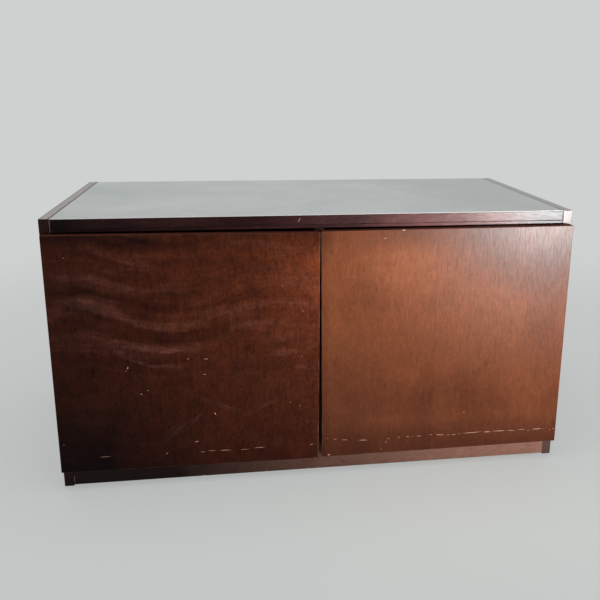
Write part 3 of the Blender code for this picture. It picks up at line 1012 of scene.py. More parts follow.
@dataclass(frozen=True)
class Laminate(Finish):
    """Pale grey laminate with faint mottling, specks and light lines along its front and back
    edges.
    """

    name: str = "laminate_top"
    cool: Tint = Tint(162, 167, 168)
    warm: Tint = Tint(180, 181, 179)
    shaded: Tint = Tint(152, 155, 155)
    edge: Tint = Tint(226, 220, 217)
    speck: Tint = Tint(120, 124, 124)

    TOUCH: ClassVar[Touch] = Touch(0.36, 0.10, 7.0)
    BROAD: ClassVar[Cells] = ((6.0, 6.0, 6.0), 4.0, 0.5)
    SMALL: ClassVar[Cells] = ((240.0, 240.0, 240.0), 3.0)
    SMALL_SHARE: ClassVar[float] = 0.9
    RARE: ClassVar[Cells] = ((13.0, 13.0, 13.0), 1.0)
    RARE_FROM: ClassVar[float] = 0.60
    SPECKS: ClassVar[float] = 26.0
    SPECK_RAMP: ClassVar[Ramp] = (0.025, 0.055, 1.0, 0.0)
    SHADED_RAMP: ClassVar[Ramp] = (0.24, 0.34, 0.0, 0.45)
    FRONT_RAMP: ClassVar[Ramp] = (CARCASS_FRONT + 0.0012, CARCASS_FRONT + 0.0030, 1.0, 0.0)
    BACK_RAMP: ClassVar[Ramp] = (CARCASS_BACK - 0.006, CARCASS_BACK - 0.003, 0.0, 0.4)
    SIDE_RAMP: ClassVar[Ramp] = (HALF_WIDTH - 0.0202, HALF_WIDTH - 0.0194, 0.0, 0.85)
    RELIEF: ClassVar[float] = 0.00002

    def dress(self, face: Surface) -> None:
        """Places the mottling, the specks and the edges.

        Args:
            face: The material's surface.
        """
        small = face.noise(face.where, *self.SMALL)
        broad = face.noise(face.where, *self.BROAD)
        tone = face.sum("MULTIPLY_ADD", face.centred(small), self.SMALL_SHARE, broad)
        colour = face.blend(face.ease(tone, *MIDDLE_RAMP), self.cool, self.warm)
        feeds = {"Vector": face.where, "Scale": self.SPECKS}
        cell = face.place("ShaderNodeTexVoronoi", feeds, feature="F1")
        rare = face.sum("GREATER_THAN", face.noise(face.where, *self.RARE), self.RARE_FROM)
        dot = face.ease(cell.outputs["Distance"], *self.SPECK_RAMP)
        colour = face.blend(face.sum("MULTIPLY", dot, rare), colour, self.speck)
        x, y, _ = face.axes
        colour = face.blend(face.ease(x, *self.SHADED_RAMP), colour, self.shaded)
        front, back = face.ease(y, *self.FRONT_RAMP), face.ease(y, *self.BACK_RAMP)
        colour = face.blend(face.sum("MAXIMUM", front, back), colour, self.edge)
        beside = face.ease(face.sum("ABSOLUTE", x), *self.SIDE_RAMP)
        colour = face.blend(beside, colour, Veneer.JOINT_TINT)
        face.give("Base Color", colour)
        face.give("Roughness", face.gloss(self.TOUCH))
        face.bump(small, self.RELIEF)


@dataclass(frozen=True)
class Hardboard(Finish):
    """Brown hardboard with pressed fibres."""

    name: str = "hardboard_back"
    deep: Tint = Tint(98, 68, 46)
    pale: Tint = Tint(140, 104, 76)
    fleck: Tint = Tint(60, 40, 28)

    TOUCH: ClassVar[Touch] = Touch(0.66, 0.10, 9.0)
    MAT: ClassVar[Cells] = ((420.0, 420.0, 420.0), 4.0, 1.2)
    BROAD: ClassVar[Cells] = ((5.0, 5.0, 5.0), 3.0)
    BROAD_SHARE: ClassVar[float] = 0.8
    FLECKS: ClassVar[Cells] = ((260.0, 260.0, 260.0), 1.0, 2.0)
    FLECK_RAMP: ClassVar[Ramp] = (0.68, 0.74)
    FLECK_SHARE: ClassVar[float] = 0.5
    RELIEF: ClassVar[float] = 0.0001

    def dress(self, face: Surface) -> None:
        """Places the matted fibres and a few dark flecks.

        Args:
            face: The material's surface.
        """
        mat = face.noise(face.where, *self.MAT)
        broad = face.centred(face.noise(face.where, *self.BROAD))
        tone = face.sum("MULTIPLY_ADD", broad, self.BROAD_SHARE, mat)
        colour = face.blend(face.ease(tone, *MIDDLE_RAMP), self.deep, self.pale)
        dark = face.ease(face.noise(face.where, *self.FLECKS), *self.FLECK_RAMP)
        colour = face.blend(face.sum("MULTIPLY", dark, self.FLECK_SHARE), colour, self.fleck)
        face.give("Base Color", colour)
        face.give("Roughness", face.gloss(self.TOUCH))
        face.bump(mat, self.RELIEF)


@dataclass(frozen=True)
class Plain(Finish):
    """A factory-made surface of two close tones in patches, with a fine texture."""

    name: str
    first: Tint
    second: Tint
    touch: Touch
    patches: Cells
    texture: Cells
    relief: float
    ramp: Ramp
    metallic: float = 0.0

    def dress(self, face: Surface) -> None:
        """Places the texture and the patches.

        Args:
            face: The material's surface.
        """
        patch = face.ease(face.noise(face.where, *self.patches), *self.ramp)
        face.give("Base Color", face.blend(patch, self.first, self.second))
        face.give("Roughness", face.gloss(self.touch))
        face.give("Metallic", self.metallic)
        face.bump(face.noise(face.where, *self.texture), self.relief)


def steel(name: str, bright: Tint, dull: Tint, roughness: float) -> Plain:
    """Gives steel with a fine drawn grain.

    Args:
        name: The material's name.
        bright: The tone where it is bright.
        dull: The tone of its dull patches.
        roughness: How rough it is.

    Returns:
        The finish.
    """
    return Plain(
        name,
        bright,
        dull,
        touch=Touch(roughness, 0.12, 180.0),
        patches=((150.0, 150.0, 150.0), 3.0),
        texture=((260.0, 260.0, 2600.0), 2.0),
        relief=0.00001,
        ramp=(0.35, 0.7),
        metallic=1.0,
    )


@dataclass(frozen=True)
class Gouge:
    """A ragged scratch cut in an upright face: its two ends, its width and its depth."""

    start: Pair
    end: Pair
    width: float
    depth: float = 0.00025


@dataclass(frozen=True)
class Chip:
    """A bite out of an arris: its place and its half sizes along X, Y and Z."""

    place: Point
    reach: Point


class Bench:
    """Makes meshes in the cabinet's frame and carves them."""

    ROUND_SEGMENTS: ClassVar[int] = 3
    RAGGED_STEP: ClassVar[float] = 0.0012
    FEWEST_STEPS: ClassVar[int] = 3
    TAPER: ClassVar[float] = 3.0
    DRIFT: ClassVar[float] = 0.35
    HALF_WIDTHS: ClassVar[Pair] = (0.25, 0.6)
    LUMPS: ClassVar[Pair] = (0.72, 1.15)
    LUMP_CUTS: ClassVar[int] = 2
    CUT_RUN: ClassVar[float] = 0.001

    def __init__(self, seed: int) -> None:
        """Starts the bench's own random draws.

        Args:
            seed: The seed of the ragged outlines.
        """
        self.chance = random.Random(seed)

    @staticmethod
    def finished(name: str, shape: Shape, sharp: float = SHARP_EDGE) -> Thing:
        """Turns a mesh in the making into an object.

        Args:
            name: The piece's name.
            shape: The mesh in the making, which is used up.
            sharp: Edges that turn by more than this stay sharp.

        Returns:
            The object, in the scene.
        """
        bmesh.ops.recalc_face_normals(shape, faces=shape.faces)
        mesh = bpy.data.meshes.new(name)
        shape.to_mesh(mesh)
        shape.free()
        mesh.shade_smooth()
        mesh.set_sharp_from_angle(angle=sharp)
        obj = bpy.data.objects.new(name, mesh)
        bpy.context.scene.collection.objects.link(obj)
        return obj

    @staticmethod
    def rounded_block(low: Vector, high: Vector, radius: float) -> Shape:
        """Makes a box with all its arrises rounded.

        Args:
            low: Its lowest corner.
            high: Its highest corner.
            radius: The radius of its arrises.

        Returns:
            The mesh in the making.
        """
        shape = bmesh.new()
        bmesh.ops.create_cube(shape, size=1.0)
        bmesh.ops.scale(shape, vec=high - low, verts=shape.verts)
        bmesh.ops.translate(shape, vec=(low + high) / 2, verts=shape.verts)
        bmesh.ops.bevel(
            shape,
            geom=shape.edges[:],
            offset=radius,
            segments=Bench.ROUND_SEGMENTS,
            profile=ROUND_PROFILE,
            affect="EDGES",
        )
        return shape

    @staticmethod
    def disc(shape: Shape, middle: Vector, radii: Pair, length: float, sides: int) -> None:
        """Adds a round disc or plug whose axis runs along Y.

        Args:
            shape: The mesh in the making.
            middle: Its middle.
            radii: Its radii at the two ends, the one nearer the doors last.
            length: Its length.
            sides: How many sides it has.
        """
        bmesh.ops.create_cone(
            shape,
            cap_ends=True,
            segments=sides,
            radius1=radii[0],
            radius2=radii[1],
            depth=length,
            matrix=Matrix.Translation(middle) @ Matrix.Rotation(QUARTER_TURN, 4, "X"),
        )

    def gouge(self, shape: Shape, mark: Gouge, face_y: float) -> None:
        """Adds a ragged prism that cuts one scratch.

        Args:
            shape: The cutter in the making.
            mark: The scratch.
            face_y: The face that it is cut in, which faces -Y.
        """
        start, end = Vector(mark.start), Vector(mark.end)
        run = end - start
        across = Vector((-run.y, run.x)).normalized()
        steps = max(self.FEWEST_STEPS, round(run.length / self.RAGGED_STEP))
        upper, lower = [], []
        for number in range(1, steps):
            share = number / steps
            taper = min(1.0, self.TAPER * share, self.TAPER * (1.0 - share))
            drift = self.chance.uniform(-self.DRIFT, self.DRIFT)
            middle = start + run * share + across * drift * mark.width
            aside = across * mark.width * taper
            upper.append(middle + aside * self.chance.uniform(*self.HALF_WIDTHS))
            lower.append(middle - aside * self.chance.uniform(*self.HALF_WIDTHS))
        outline = [start, *upper, end, *lower[::-1]]
        near = [shape.verts.new((p.x, face_y - self.CUT_RUN, p.y)) for p in outline]
        far = [shape.verts.new((p.x, face_y + mark.depth, p.y)) for p in outline]
        shape.faces.new(near)
        shape.faces.new(far[::-1])
        for a, b in zip(range(len(outline)), [*range(1, len(outline)), 0]):
            shape.faces.new((near[a], far[a], far[b], near[b]))

    def bite(self, shape: Shape, chip: Chip) -> None:
        """Adds an uneven lump that bites out of an arris.

        Args:
            shape: The cutter in the making.
            chip: The bite.
        """
        made = bmesh.ops.create_icosphere(shape, subdivisions=self.LUMP_CUTS, radius=1.0)
        for vertex in made["verts"]:
            vertex.co *= self.chance.uniform(*self.LUMPS)
            vertex.co = Vector(chip.place) + vertex.co * Vector(chip.reach)

    def carve(self, obj: Thing, cutter: Shape, slot: int, sharp: float = SHARP_EDGE) -> None:
        """Cuts a piece and leaves the cut faces in a material slot of their own.

        Args:
            obj: The piece to cut.
            cutter: What is cut away, which is used up.
            slot: The material slot of the cut faces.
            sharp: Edges that turn by more than this stay sharp.
        """
        for face in cutter.faces:
            face.material_index = slot
        tool = self.finished(f"{obj.name}_cutter", cutter)
        while len(tool.data.materials) <= slot:
            tool.data.materials.append(None)
        cut = obj.modifiers.new("carve", "BOOLEAN")
        cut.operation = "DIFFERENCE"
        cut.solver = "EXACT"
        cut.use_self = True
        cut.material_mode = "INDEX"
        cut.object = tool
        bpy.context.view_layer.update()
        graph = bpy.context.evaluated_depsgraph_get()
        carved = bpy.data.meshes.new_from_object(obj.evaluated_get(graph))
        carved.name = obj.name
        obj.modifiers.clear()
        obj.data = carved
        carved.set_sharp_from_angle(angle=sharp)
        bpy.data.objects.remove(tool)

    @staticmethod
    def steady(obj: Thing, limit: float) -> None:
        """Turns the corners' normals to the widest faces beside them, so that flat faces stay flat.

        Args:
            obj: The piece.
            limit: Faces that turn by more than this keep apart.
        """
        mesh = obj.data
        faces = mesh.polygons
        beside: dict[int, list[int]] = {}
        for face in faces:
            for vertex in face.vertices:
                beside.setdefault(vertex, []).append(face.index)
        normals = []
        for face in faces:
            for vertex in face.vertices:
                total = Vector()
                for other in (faces[index] for index in beside[vertex]):
                    if face.normal.angle(other.normal, 0.0) < limit:
                        total += other.normal * other.area
                normals.append(total.normalized())
        mesh.normals_split_custom_set(normals)


@dataclass
class Door:
    """A veneered door panel: rounded arrises, scratches, chips, and the bores for its hinges."""

    side: Side
    veneer: Veneer
    gouges: tuple[Gouge, ...]
    chips: tuple[Chip, ...]
    seed: int
    outer: float = 0.497
    inner: float = 0.00225
    bottom: float = 0.0405
    top: float = 0.5035
    arris: float = 0.0010
    bore_from_edge: float = 0.0225
    bore_radius: float = 0.0178
    bore_depth: float = 0.0115
    bore_heights: Pair = (0.1255, 0.4185)
    bore_sides: int = 64

    CUT_SLOT: ClassVar[int] = 1
    LINING_SLOT: ClassVar[int] = 2
    EDGE_SLOT: ClassVar[int] = 3
    FACES_ASIDE: ClassVar[float] = 0.35
    FACES_BACK: ClassVar[float] = 0.9

    def build(self) -> Thing:
        """Makes the door, hung as its hinges hold it.

        Returns:
            The door piece, riding on its body.
        """
        sign = self.side.sign
        xs = sorted((sign * self.outer, sign * self.inner))
        low, high = Vector((xs[0], DOOR_FRONT, self.bottom)), Vector((xs[1], DOOR_BACK, self.top))
        bench = Bench(self.seed)
        panel = bench.rounded_block(low, high, self.arris)
        hinge, turn = Vector(self.veneer.pivot), Matrix.Rotation(self.veneer.droop, 3, "Y")
        bmesh.ops.rotate(panel, cent=hinge, matrix=turn, verts=panel.verts)
        obj = bench.finished(f"{self.side.value}_door", panel)
        for finish in (self.veneer, BARE_WOOD, DOOR_LINING, DOOR_EDGE):
            obj.data.materials.append(finish.material())
        for face in obj.data.polygons:
            if abs(face.normal.y) < self.FACES_ASIDE:
                face.material_index = self.EDGE_SLOT
            elif face.normal.y > self.FACES_BACK:
                face.material_index = self.LINING_SLOT
        cutter = bmesh.new()
        for mark in self.gouges:
            bench.gouge(cutter, mark, DOOR_FRONT)
        for chip in self.chips:
            bench.bite(cutter, chip)
        length = self.bore_depth + Bench.CUT_RUN
        x, y = sign * (self.outer - self.bore_from_edge), DOOR_BACK - self.bore_depth + length / 2
        for height in self.bore_heights:
            radii = (self.bore_radius, self.bore_radius)
            bench.disc(cutter, Vector((x, y, height)), radii, length, self.bore_sides)
        bench.carve(obj, cutter, self.CUT_SLOT)
        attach(obj, f"door_{self.side.value}")
        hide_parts(f"door_panel_{self.side.value}")
        return obj


@dataclass(frozen=True)
class Cut:
    """Scratches and bites that show one finish inside."""

    finish: Finish
    gouges: tuple[Gouge, ...] = ()
    chips: tuple[Chip, ...] = ()


@dataclass
class WornStrip:
    """A straight strip of the carcass with rounded arrises and its own knocks, and a pale painted
    highlight line cut at its left joint.
    """

    name: str
    node: str
    veneer: Veneer
    slot: str
    arris: float
    cuts: tuple[Cut, ...]
    seed: int

    def build(self) -> Thing:
        """Makes the strip in the place of its solid.

        Returns:
            The strip piece, riding on the carcass.
        """
        bench = Bench(self.seed)
        low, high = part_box(self.node)
        obj = bench.finished(self.name, bench.rounded_block(low, high, self.arris))
        for finish in (self.veneer, *[cut.finish for cut in self.cuts]):
            obj.data.materials.append(finish.material())
        for slot, cut in enumerate(self.cuts, 1):
            cutter = bmesh.new()
            for mark in cut.gouges:
                bench.gouge(cutter, mark, low.y)
            for chip in cut.chips:
                bench.bite(cutter, chip)
            bench.carve(obj, cutter, slot)
        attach(obj, "carcass")
        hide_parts(self.node)
        return obj


@dataclass
class HingeSteel:
    """The hinges' pressed pieces, with softened edges and crossed screw heads."""

    nodes: dict[str, Thing]
    finish: Finish
    edge: float = 0.00022
    edge_segments: int = 2
    weld: float = 0.000002
    flat: float = math.radians(0.5)
    keen: float = math.radians(35)
    crisp: float = math.radians(50)
    wing_inset: float = 0.0100
    wing_screws: float = 0.024
    plate_screws: float = 0.016
    plate_screw_face: float = 0.0029
    arm_screws: tuple[float, ...] = (0.025, 0.050)
    arm_screw_face: float = 0.0033
    slot_half: Point = (0.0019, 0.0006, 0.00035)

    SLOTS: ClassVar[int] = 2
    PRESSED: ClassVar[tuple[str, ...]] = (
        "hinge_cup_l",
        "hinge_cup_r",
        "hinge_arm_l",
        "hinge_arm_r",
        "hinge_plate",
        "hinge_link",
    )

    def build(self) -> None:
        """Makes each pressed piece in the place of its solid."""
        for number, (name, node) in enumerate(self.nodes.items()):
            if name.startswith(self.PRESSED):
                self.pressed(name, node, Bench(number))

    def pressed(self, name: str, node: Thing, bench: Bench) -> None:
        """Makes one piece.

        Args:
            name: The solid's name.
            node: The solid.
            bench: The bench that it is made on.
        """
        shape = bmesh.new()
        shape.from_mesh(node.data)
        bmesh.ops.remove_doubles(shape, verts=shape.verts, dist=self.weld)
        bmesh.ops.dissolve_limit(shape, angle_limit=self.flat, verts=shape.verts, edges=shape.edges)
        edges = [edge for edge in shape.edges if edge.calc_face_angle(0.0) > self.keen]
        bmesh.ops.bevel(
            shape,
            geom=edges,
            offset=self.edge,
            segments=self.edge_segments,
            profile=ROUND_PROFILE,
            affect="EDGES",
            clamp_overlap=True,
        )
        obj = bench.finished(f"{name}_pressed", shape, self.crisp)
        for _ in range(self.SLOTS):
            obj.data.materials.append(self.finish.material())
        low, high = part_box(name)
        cutter = bmesh.new()
        for face, axis in self.screws(name, low, high):
            self.cross(cutter, face, axis, bench.chance.uniform(0.0, QUARTER_TURN))
        if cutter.faces:
            bench.carve(obj, cutter, self.SLOTS - 1, self.crisp)
        else:
            cutter.free()
        bench.steady(obj, self.crisp)
        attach(obj, node.parent.name.removeprefix("body:"))
        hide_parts(name)
        LOG.info("%s has %d faces", obj.name, len(obj.data.polygons))

    def screws(self, name: str, low: Vector, high: Vector) -> list[tuple[Vector, str]]:
        """Finds the screw heads of a piece.

        Args:
            name: The solid's name.
            low: Its lowest corner.
            high: Its highest corner.

        Returns:
            The middle of each head's face, and the axis that it turns about.
        """
        sign = math.copysign(1.0, low.x)
        inner, outer = sorted((low.x, high.x), key=abs)
        middle = (low + high) / 2
        if name.startswith("hinge_cup"):
            x, y = inner + sign * self.wing_inset, high.y
            return [(Vector((x, y, middle.z + way * self.wing_screws)), "Y") for way in (-1, 1)]
        if name.startswith("hinge_plate"):
            x, y = outer - sign * self.plate_screw_face, middle.y
            return [(Vector((x, y, middle.z + way * self.plate_screws)), "X") for way in (-1, 1)]
        if name.startswith("hinge_arm"):
            x = outer - sign * self.arm_screw_face
            return [(Vector((x, CARCASS_FRONT + back, middle.z)), "X") for back in self.arm_screws]
        return []

    def cross(self, cutter: Shape, face: Vector, axis: str, turn: float) -> None:
        """Adds the crossed slots of one screw head.

        Args:
            cutter: The cutter in the making.
            face: The middle of the head's face.
            axis: The axis that the screw turns about.
            turn: How far it is turned.
        """
        long, deep, thin = self.slot_half
        halves = (long, deep, thin) if axis == "Y" else (deep, long, thin)
        for quarter in (0.0, QUARTER_TURN):
            place = Matrix.Translation(face) @ Matrix.Rotation(turn + quarter, 4, axis)
            scale = Matrix.Diagonal((*[2.0 * half for half in halves], 1.0))
            bmesh.ops.create_cube(cutter, size=1.0, matrix=place @ scale)


@dataclass
class BackNails:
    """The small nails that hold the back panel, all round its border."""

    inset: float = 0.0085
    step: float = 0.108
    radii: Pair = (0.00126, 0.0021)
    height: float = 0.0004
    sides: int = 12

    def build(self) -> Thing:
        """Makes the nails' heads.

        Returns:
            The nails, riding on the carcass.
        """
        low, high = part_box("back_panel")
        left, right = low.x + self.inset, high.x - self.inset
        lower, upper = low.z + self.inset, high.z - self.inset
        places = []
        for share in self.shares(right - left):
            x = left + (right - left) * share
            places += [(x, lower), (x, upper)]
        for share in self.shares(upper - lower)[1:-1]:
            z = lower + (upper - lower) * share
            places += [(left, z), (right, z)]
        shape = bmesh.new()
        for x, z in places:
            middle = Vector((x, high.y + self.height / 2, z))
            Bench.disc(shape, middle, self.radii, self.height, self.sides)
        obj = Bench.finished("back_panel_nails", shape)
        obj.data.materials.append(PIN_STEEL.material())
        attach(obj, "carcass")
        return obj

    def shares(self, length: float) -> list[float]:
        """Parts a length into even steps, from 0 to 1."""
        steps = round(length / self.step)
        return [number / steps for number in range(steps + 1)]


@dataclass
class Carcass:
    """The solids whose shape is right as packed, each with its finish."""

    nodes: dict[str, Thing]
    finishes: dict[str, Finish]

    def dress(self) -> None:
        """Gives each named solid its material."""
        for name, finish in self.finishes.items():
            for word, node in self.nodes.items():
                if word.startswith(name) and not node.hide_render:
                    node.data.materials.clear()
                    node.data.materials.append(finish.material())
                    LOG.info("%s wears %s", word, finish.name)


@dataclass
class Lamp:
    """A soft rectangular lamp: place, target, width and height, power, and spread in degrees."""

    name: str
    place: Point
    target: Point
    size: Pair
    watts: float
    spread: float = 180.0

    def build(self) -> None:
        """Hangs the lamp, hidden from the camera."""
        data = bpy.data.lights.new(self.name, "AREA")
        data.shape = "RECTANGLE"
        data.size, data.size_y = self.size
        data.energy = self.watts
        data.spread = math.radians(self.spread)
        lamp = bpy.data.objects.new(self.name, data)
        lamp.location = self.place
        aim = Vector(self.target) - lamp.location
        lamp.rotation_euler = aim.to_track_quat("-Z", "Y").to_euler()
        lamp.visible_camera = False
        bpy.context.scene.collection.objects.link(lamp)


@dataclass
class Studio:
    """The pale floor, the lamps, the surrounding light and the camera."""

    lamps: tuple[Lamp, ...]
    floor_size: float = 30.0
    floor_tint: Tint = Tint(215, 218, 215)
    floor_roughness: float = 0.75
    floor_gloss: float = 0.2
    backdrop: Tint = Tint(206, 209, 208)
    fade: Pair = (0.7, 2.2)
    near_share: float = 0.60
    ambient: float = 0.40
    camera_place: Point = (-0.15044, -1.54089, 0.77221)
    camera_aim: Point = (0.14538, 0.95456, -0.26016)
    camera_right: Point = (0.98896, -0.14783, 0.01026)
    lens: float = 43.01
    sensor: float = 36.0
    shift: Pair = (-0.0750, -0.0443)

    def build(self) -> None:
        """Sets the whole studio up."""
        self.floor()
        self.surroundings()
        for lamp in self.lamps:
            lamp.build()
        self.camera()
        bpy.context.scene.view_settings.view_transform = "Standard"

    def floor(self) -> None:
        """Lays the floor, which fades to the plain backdrop far from the cabinet."""
        shape = bmesh.new()
        bmesh.ops.create_grid(shape, x_segments=1, y_segments=1, size=self.floor_size / 2)
        obj = Bench.finished("floor", shape)
        made = bpy.data.materials.new("floor_pale")
        made.use_nodes = True
        face = Surface(made.node_tree)
        face.give("Base Color", self.floor_tint)
        face.give("Roughness", self.floor_roughness)
        face.give("Specular IOR Level", self.floor_gloss)
        away = face.place("ShaderNodeVectorMath", {0: face.where}, operation="LENGTH")
        near = face.ease(away.outputs["Value"], *self.fade, self.near_share)
        far = face.sum("MULTIPLY", self.seen_as_backdrop(face), near)
        plain = face.place("ShaderNodeEmission", {"Color": self.backdrop, "Strength": 1.0})
        feeds = {0: far, 1: face.shader.outputs[0], 2: plain.outputs[0]}
        mixed = face.place("ShaderNodeMixShader", feeds).outputs[0]
        face.feed(made.node_tree.nodes["Material Output"].inputs["Surface"], mixed)
        obj.data.materials.append(made)

    def surroundings(self) -> None:
        """Makes the world a soft even light that the camera sees as the backdrop."""
        world = bpy.data.worlds.new("surroundings")
        world.use_nodes = True
        bpy.context.scene.world = world
        board = NodeBoard(world.node_tree)
        back = world.node_tree.nodes["Background"]
        shown = self.seen_as_backdrop(board)
        back.inputs["Color"].default_value = self.backdrop.linear
        strength = board.sum("MULTIPLY_ADD", shown, 1.0 - self.ambient, self.ambient)
        board.feed(back.inputs["Strength"], strength)

    @staticmethod
    def seen_as_backdrop(board: NodeBoard) -> Socket:
        """Gives 1 for the camera's own rays and for what gloss and glass show, and 0 for light.

        Args:
            board: The board of the floor's material or of the world.

        Returns:
            The mask.
        """
        seen = board.place("ShaderNodeLightPath").outputs
        shown = board.sum("MAXIMUM", seen["Is Camera Ray"], seen["Is Glossy Ray"])
        return board.sum("MAXIMUM", shown, seen["Is Transmission Ray"])

    def camera(self) -> None:
        """Places the camera at the photograph's viewing angle."""
        data = bpy.data.cameras.new("camera")
        data.sensor_width = self.sensor
        data.lens = self.lens
        data.shift_x, data.shift_y = self.shift
        camera = bpy.data.objects.new("camera", data)
        aim = Vector(self.camera_aim).normalized()
        right = Vector(self.camera_right)
        right = (right - aim * right.dot(aim)).normalized()
        turn = Matrix((right, right.cross(aim), -aim)).transposed()
        camera.matrix_world = Matrix.Translation(self.camera_place) @ turn.to_4x4()
        bpy.context.scene.collection.objects.link(camera)
        bpy.context.scene.camera = camera


def millimetres(*rows: tuple[float, float, float, float, float]) -> tuple[Gouge, ...]:
    """Turns rows of start, end and width in millimetres into scratches.

    Args:
        *rows: Start X and Z, end X and Z, and the width.

    Returns:
        The scratches.
    """
    metres = [[number / MILLIMETRES_IN_METRE for number in row] for row in rows]
    return tuple(Gouge((x0, z0), (x1, z1), width) for x0, z0, x1, z1, width in metres)


LEFT_SCRATCHES = millimetres(
    (-427.9, 69.8, -403.6, 68.9, 0.9),
    (-342.5, 194.9, -338.5, 196.9, 2.6),
    (-302.5, 68.4, -297.5, 69.2, 1.8),
    (-237.1, 67.2, -224.8, 66.7, 0.9),
    (-222.3, 68.3, -205.1, 68.1, 1.0),
    (-201.4, 67.2, -175.4, 66.7, 1.4),
    (-160.6, 66.1, -138.1, 66.6, 0.9),
    (-135.5, 68.2, -108.0, 68.4, 1.0),
    (-206.5, 149.0, -203.5, 143.8, 2.6),
    (-60.0, 162.3, -57.0, 161.7, 1.4),
    (-41.5, 154.2, -39.5, 153.8, 1.4),
    (-21.0, 66.2, -14.8, 68.4, 1.8),
    (-363.2, 246.8, -361.2, 252.6, 2.2),
    (-366.4, 242.6, -364.6, 245.4, 1.2),
    (-254.0, 262.2, -248.4, 262.4, 1.5),
    (-222.0, 261.8, -214.0, 259.6, 1.8),
    (-225.0, 229.6, -218.6, 228.4, 1.6),
    (-330.0, 201.6, -326.0, 203.4, 1.3),
    (-245.4, 88.2, -238.4, 91.0, 2.4),
    (-34.5, 348.5, -32.7, 349.3, 1.6),
    (-37.0, 257.4, -35.0, 258.2, 1.8),
    (-73.0, 400.0, -71.0, 400.6, 1.6),
    (-490.0, 99.2, -487.4, 100.0, 1.2),
    (-459.5, 463.2, -457.5, 464.0, 1.6),
)
RIGHT_SCRATCHES = millimetres(
    (12.8, 78.7, 14.8, 79.1, 1.3),
    (26.0, 76.2, 33.0, 75.4, 0.9),
    (42.8, 74.3, 55.9, 72.5, 1.2),
    (76.3, 70.9, 96.9, 69.8, 1.8),
    (133.5, 58.6, 135.4, 67.0, 1.2),
    (136.2, 69.3, 142.3, 71.0, 1.2),
    (158.9, 71.2, 163.1, 71.4, 1.2),
    (174.9, 72.1, 183.1, 71.6, 1.3),
    (187.0, 71.8, 192.0, 71.6, 0.9),
    (196.5, 71.8, 209.7, 71.4, 1.4),
    (222.0, 73.0, 232.0, 72.6, 0.8),
    (236.4, 72.7, 258.6, 69.6, 1.6),
    (262.0, 70.1, 268.2, 69.8, 1.2),
    (270.6, 70.0, 283.1, 70.1, 1.2),
    (284.8, 70.6, 289.6, 70.8, 1.1),
    (290.8, 71.0, 337.9, 72.4, 1.5),
    (339.1, 71.5, 356.6, 71.1, 2.0),
    (357.6, 71.8, 389.6, 71.6, 1.5),
    (390.4, 71.2, 410.1, 70.3, 1.4),
    (413.0, 71.5, 432.4, 71.4, 1.3),
    (435.1, 68.6, 440.3, 68.4, 1.2),
    (443.5, 70.4, 468.0, 70.9, 1.6),
    (470.2, 70.1, 475.5, 69.9, 1.3),
    (483.7, 67.4, 486.9, 67.4, 1.1),
    (490.0, 69.2, 494.8, 69.6, 1.3),
    (294.2, 117.4, 296.0, 118.8, 2.2),
    (119.6, 486.4, 124.8, 486.8, 2.2),
    (79.6, 145.2, 81.0, 145.6, 1.2),
    (122.6, 47.5, 125.6, 47.9, 1.1),
)
LEFT_CHIPS = (
    Chip((-0.4624, DOOR_FRONT, 0.0388), (0.0020, 0.0012, 0.0014)),
    Chip((-0.2013, DOOR_FRONT, 0.0372), (0.0030, 0.0014, 0.0020)),
    Chip((-0.0101, DOOR_FRONT, 0.0368), (0.0022, 0.0010, 0.0014)),
    Chip((-0.0013, DOOR_FRONT, 0.1356), (0.0010, 0.0012, 0.0022)),
    Chip((-0.0005, DOOR_FRONT, 0.0400), (0.0012, 0.0012, 0.0016)),
)
RIGHT_CHIPS = (
    Chip((0.0170, DOOR_FRONT, 0.0424), (0.0030, 0.0012, 0.0014)),
    Chip((0.1575, DOOR_FRONT, 0.5018), (0.0032, 0.0018, 0.0020)),
)
BAND_KNOCKS = millimetres(
    (-41.2, 515.7, -35.6, 524.6, 1.6),
)
BAND_JOINT = millimetres(
    (-481.5, 501.0, -481.2, 516.0, 1.2),
    (-481.4, 506.0, -481.0, 526.0, 1.2),
    (-481.3, 517.0, -480.9, 538.0, 1.2),
)
BAND_PITS = millimetres(
    (481.2, 511.2, 481.2, 528.6, 1.0),
    (378.4, 522.1, 380.4, 522.1, 1.1),
    (383.4, 522.0, 385.6, 522.1, 1.1),
    (388.6, 521.9, 390.6, 522.0, 1.1),
    (393.8, 521.8, 395.8, 521.9, 1.1),
    (399.0, 521.7, 400.8, 521.7, 1.1),
)
PLINTH_JOINT_LINE = millimetres(
    (-480.9, 24.0, -481.0, 4.6, 1.7),
)
PLINTH_CHIPS = (
    Chip((-0.2328, CARCASS_FRONT, 0.0022), (0.0030, 0.0016, 0.0022)),
    Chip((-0.1069, CARCASS_FRONT, 0.0022), (0.0020, 0.0014, 0.0018)),
    Chip((-0.0232, CARCASS_FRONT, 0.0022), (0.0026, 0.0014, 0.0018)),
    Chip((0.0160, CARCASS_FRONT, 0.0022), (0.0014, 0.0012, 0.0014)),
)

BARE_WOOD = RawWood()
# painted highlight: a pale line in the left joint, where the side panel's arris catches the light
JOINT_HIGHLIGHT = Cut(RawWood("open_joint", Tint(196, 160, 154), Tint(146, 106, 100)), BAND_JOINT)
BAND_CUTS = (
    Cut(BARE_WOOD, BAND_KNOCKS),
    Cut(RawWood("stained_pit", Tint(44, 22, 20), Tint(22, 10, 10)), BAND_PITS),
    JOINT_HIGHLIGHT,
)
# the plinth's left joint line holds the same painted highlight as the band's
PLINTH_CUTS = (Cut(JOINT_HIGHLIGHT.finish, PLINTH_JOINT_LINE), Cut(BARE_WOOD, chips=PLINTH_CHIPS))

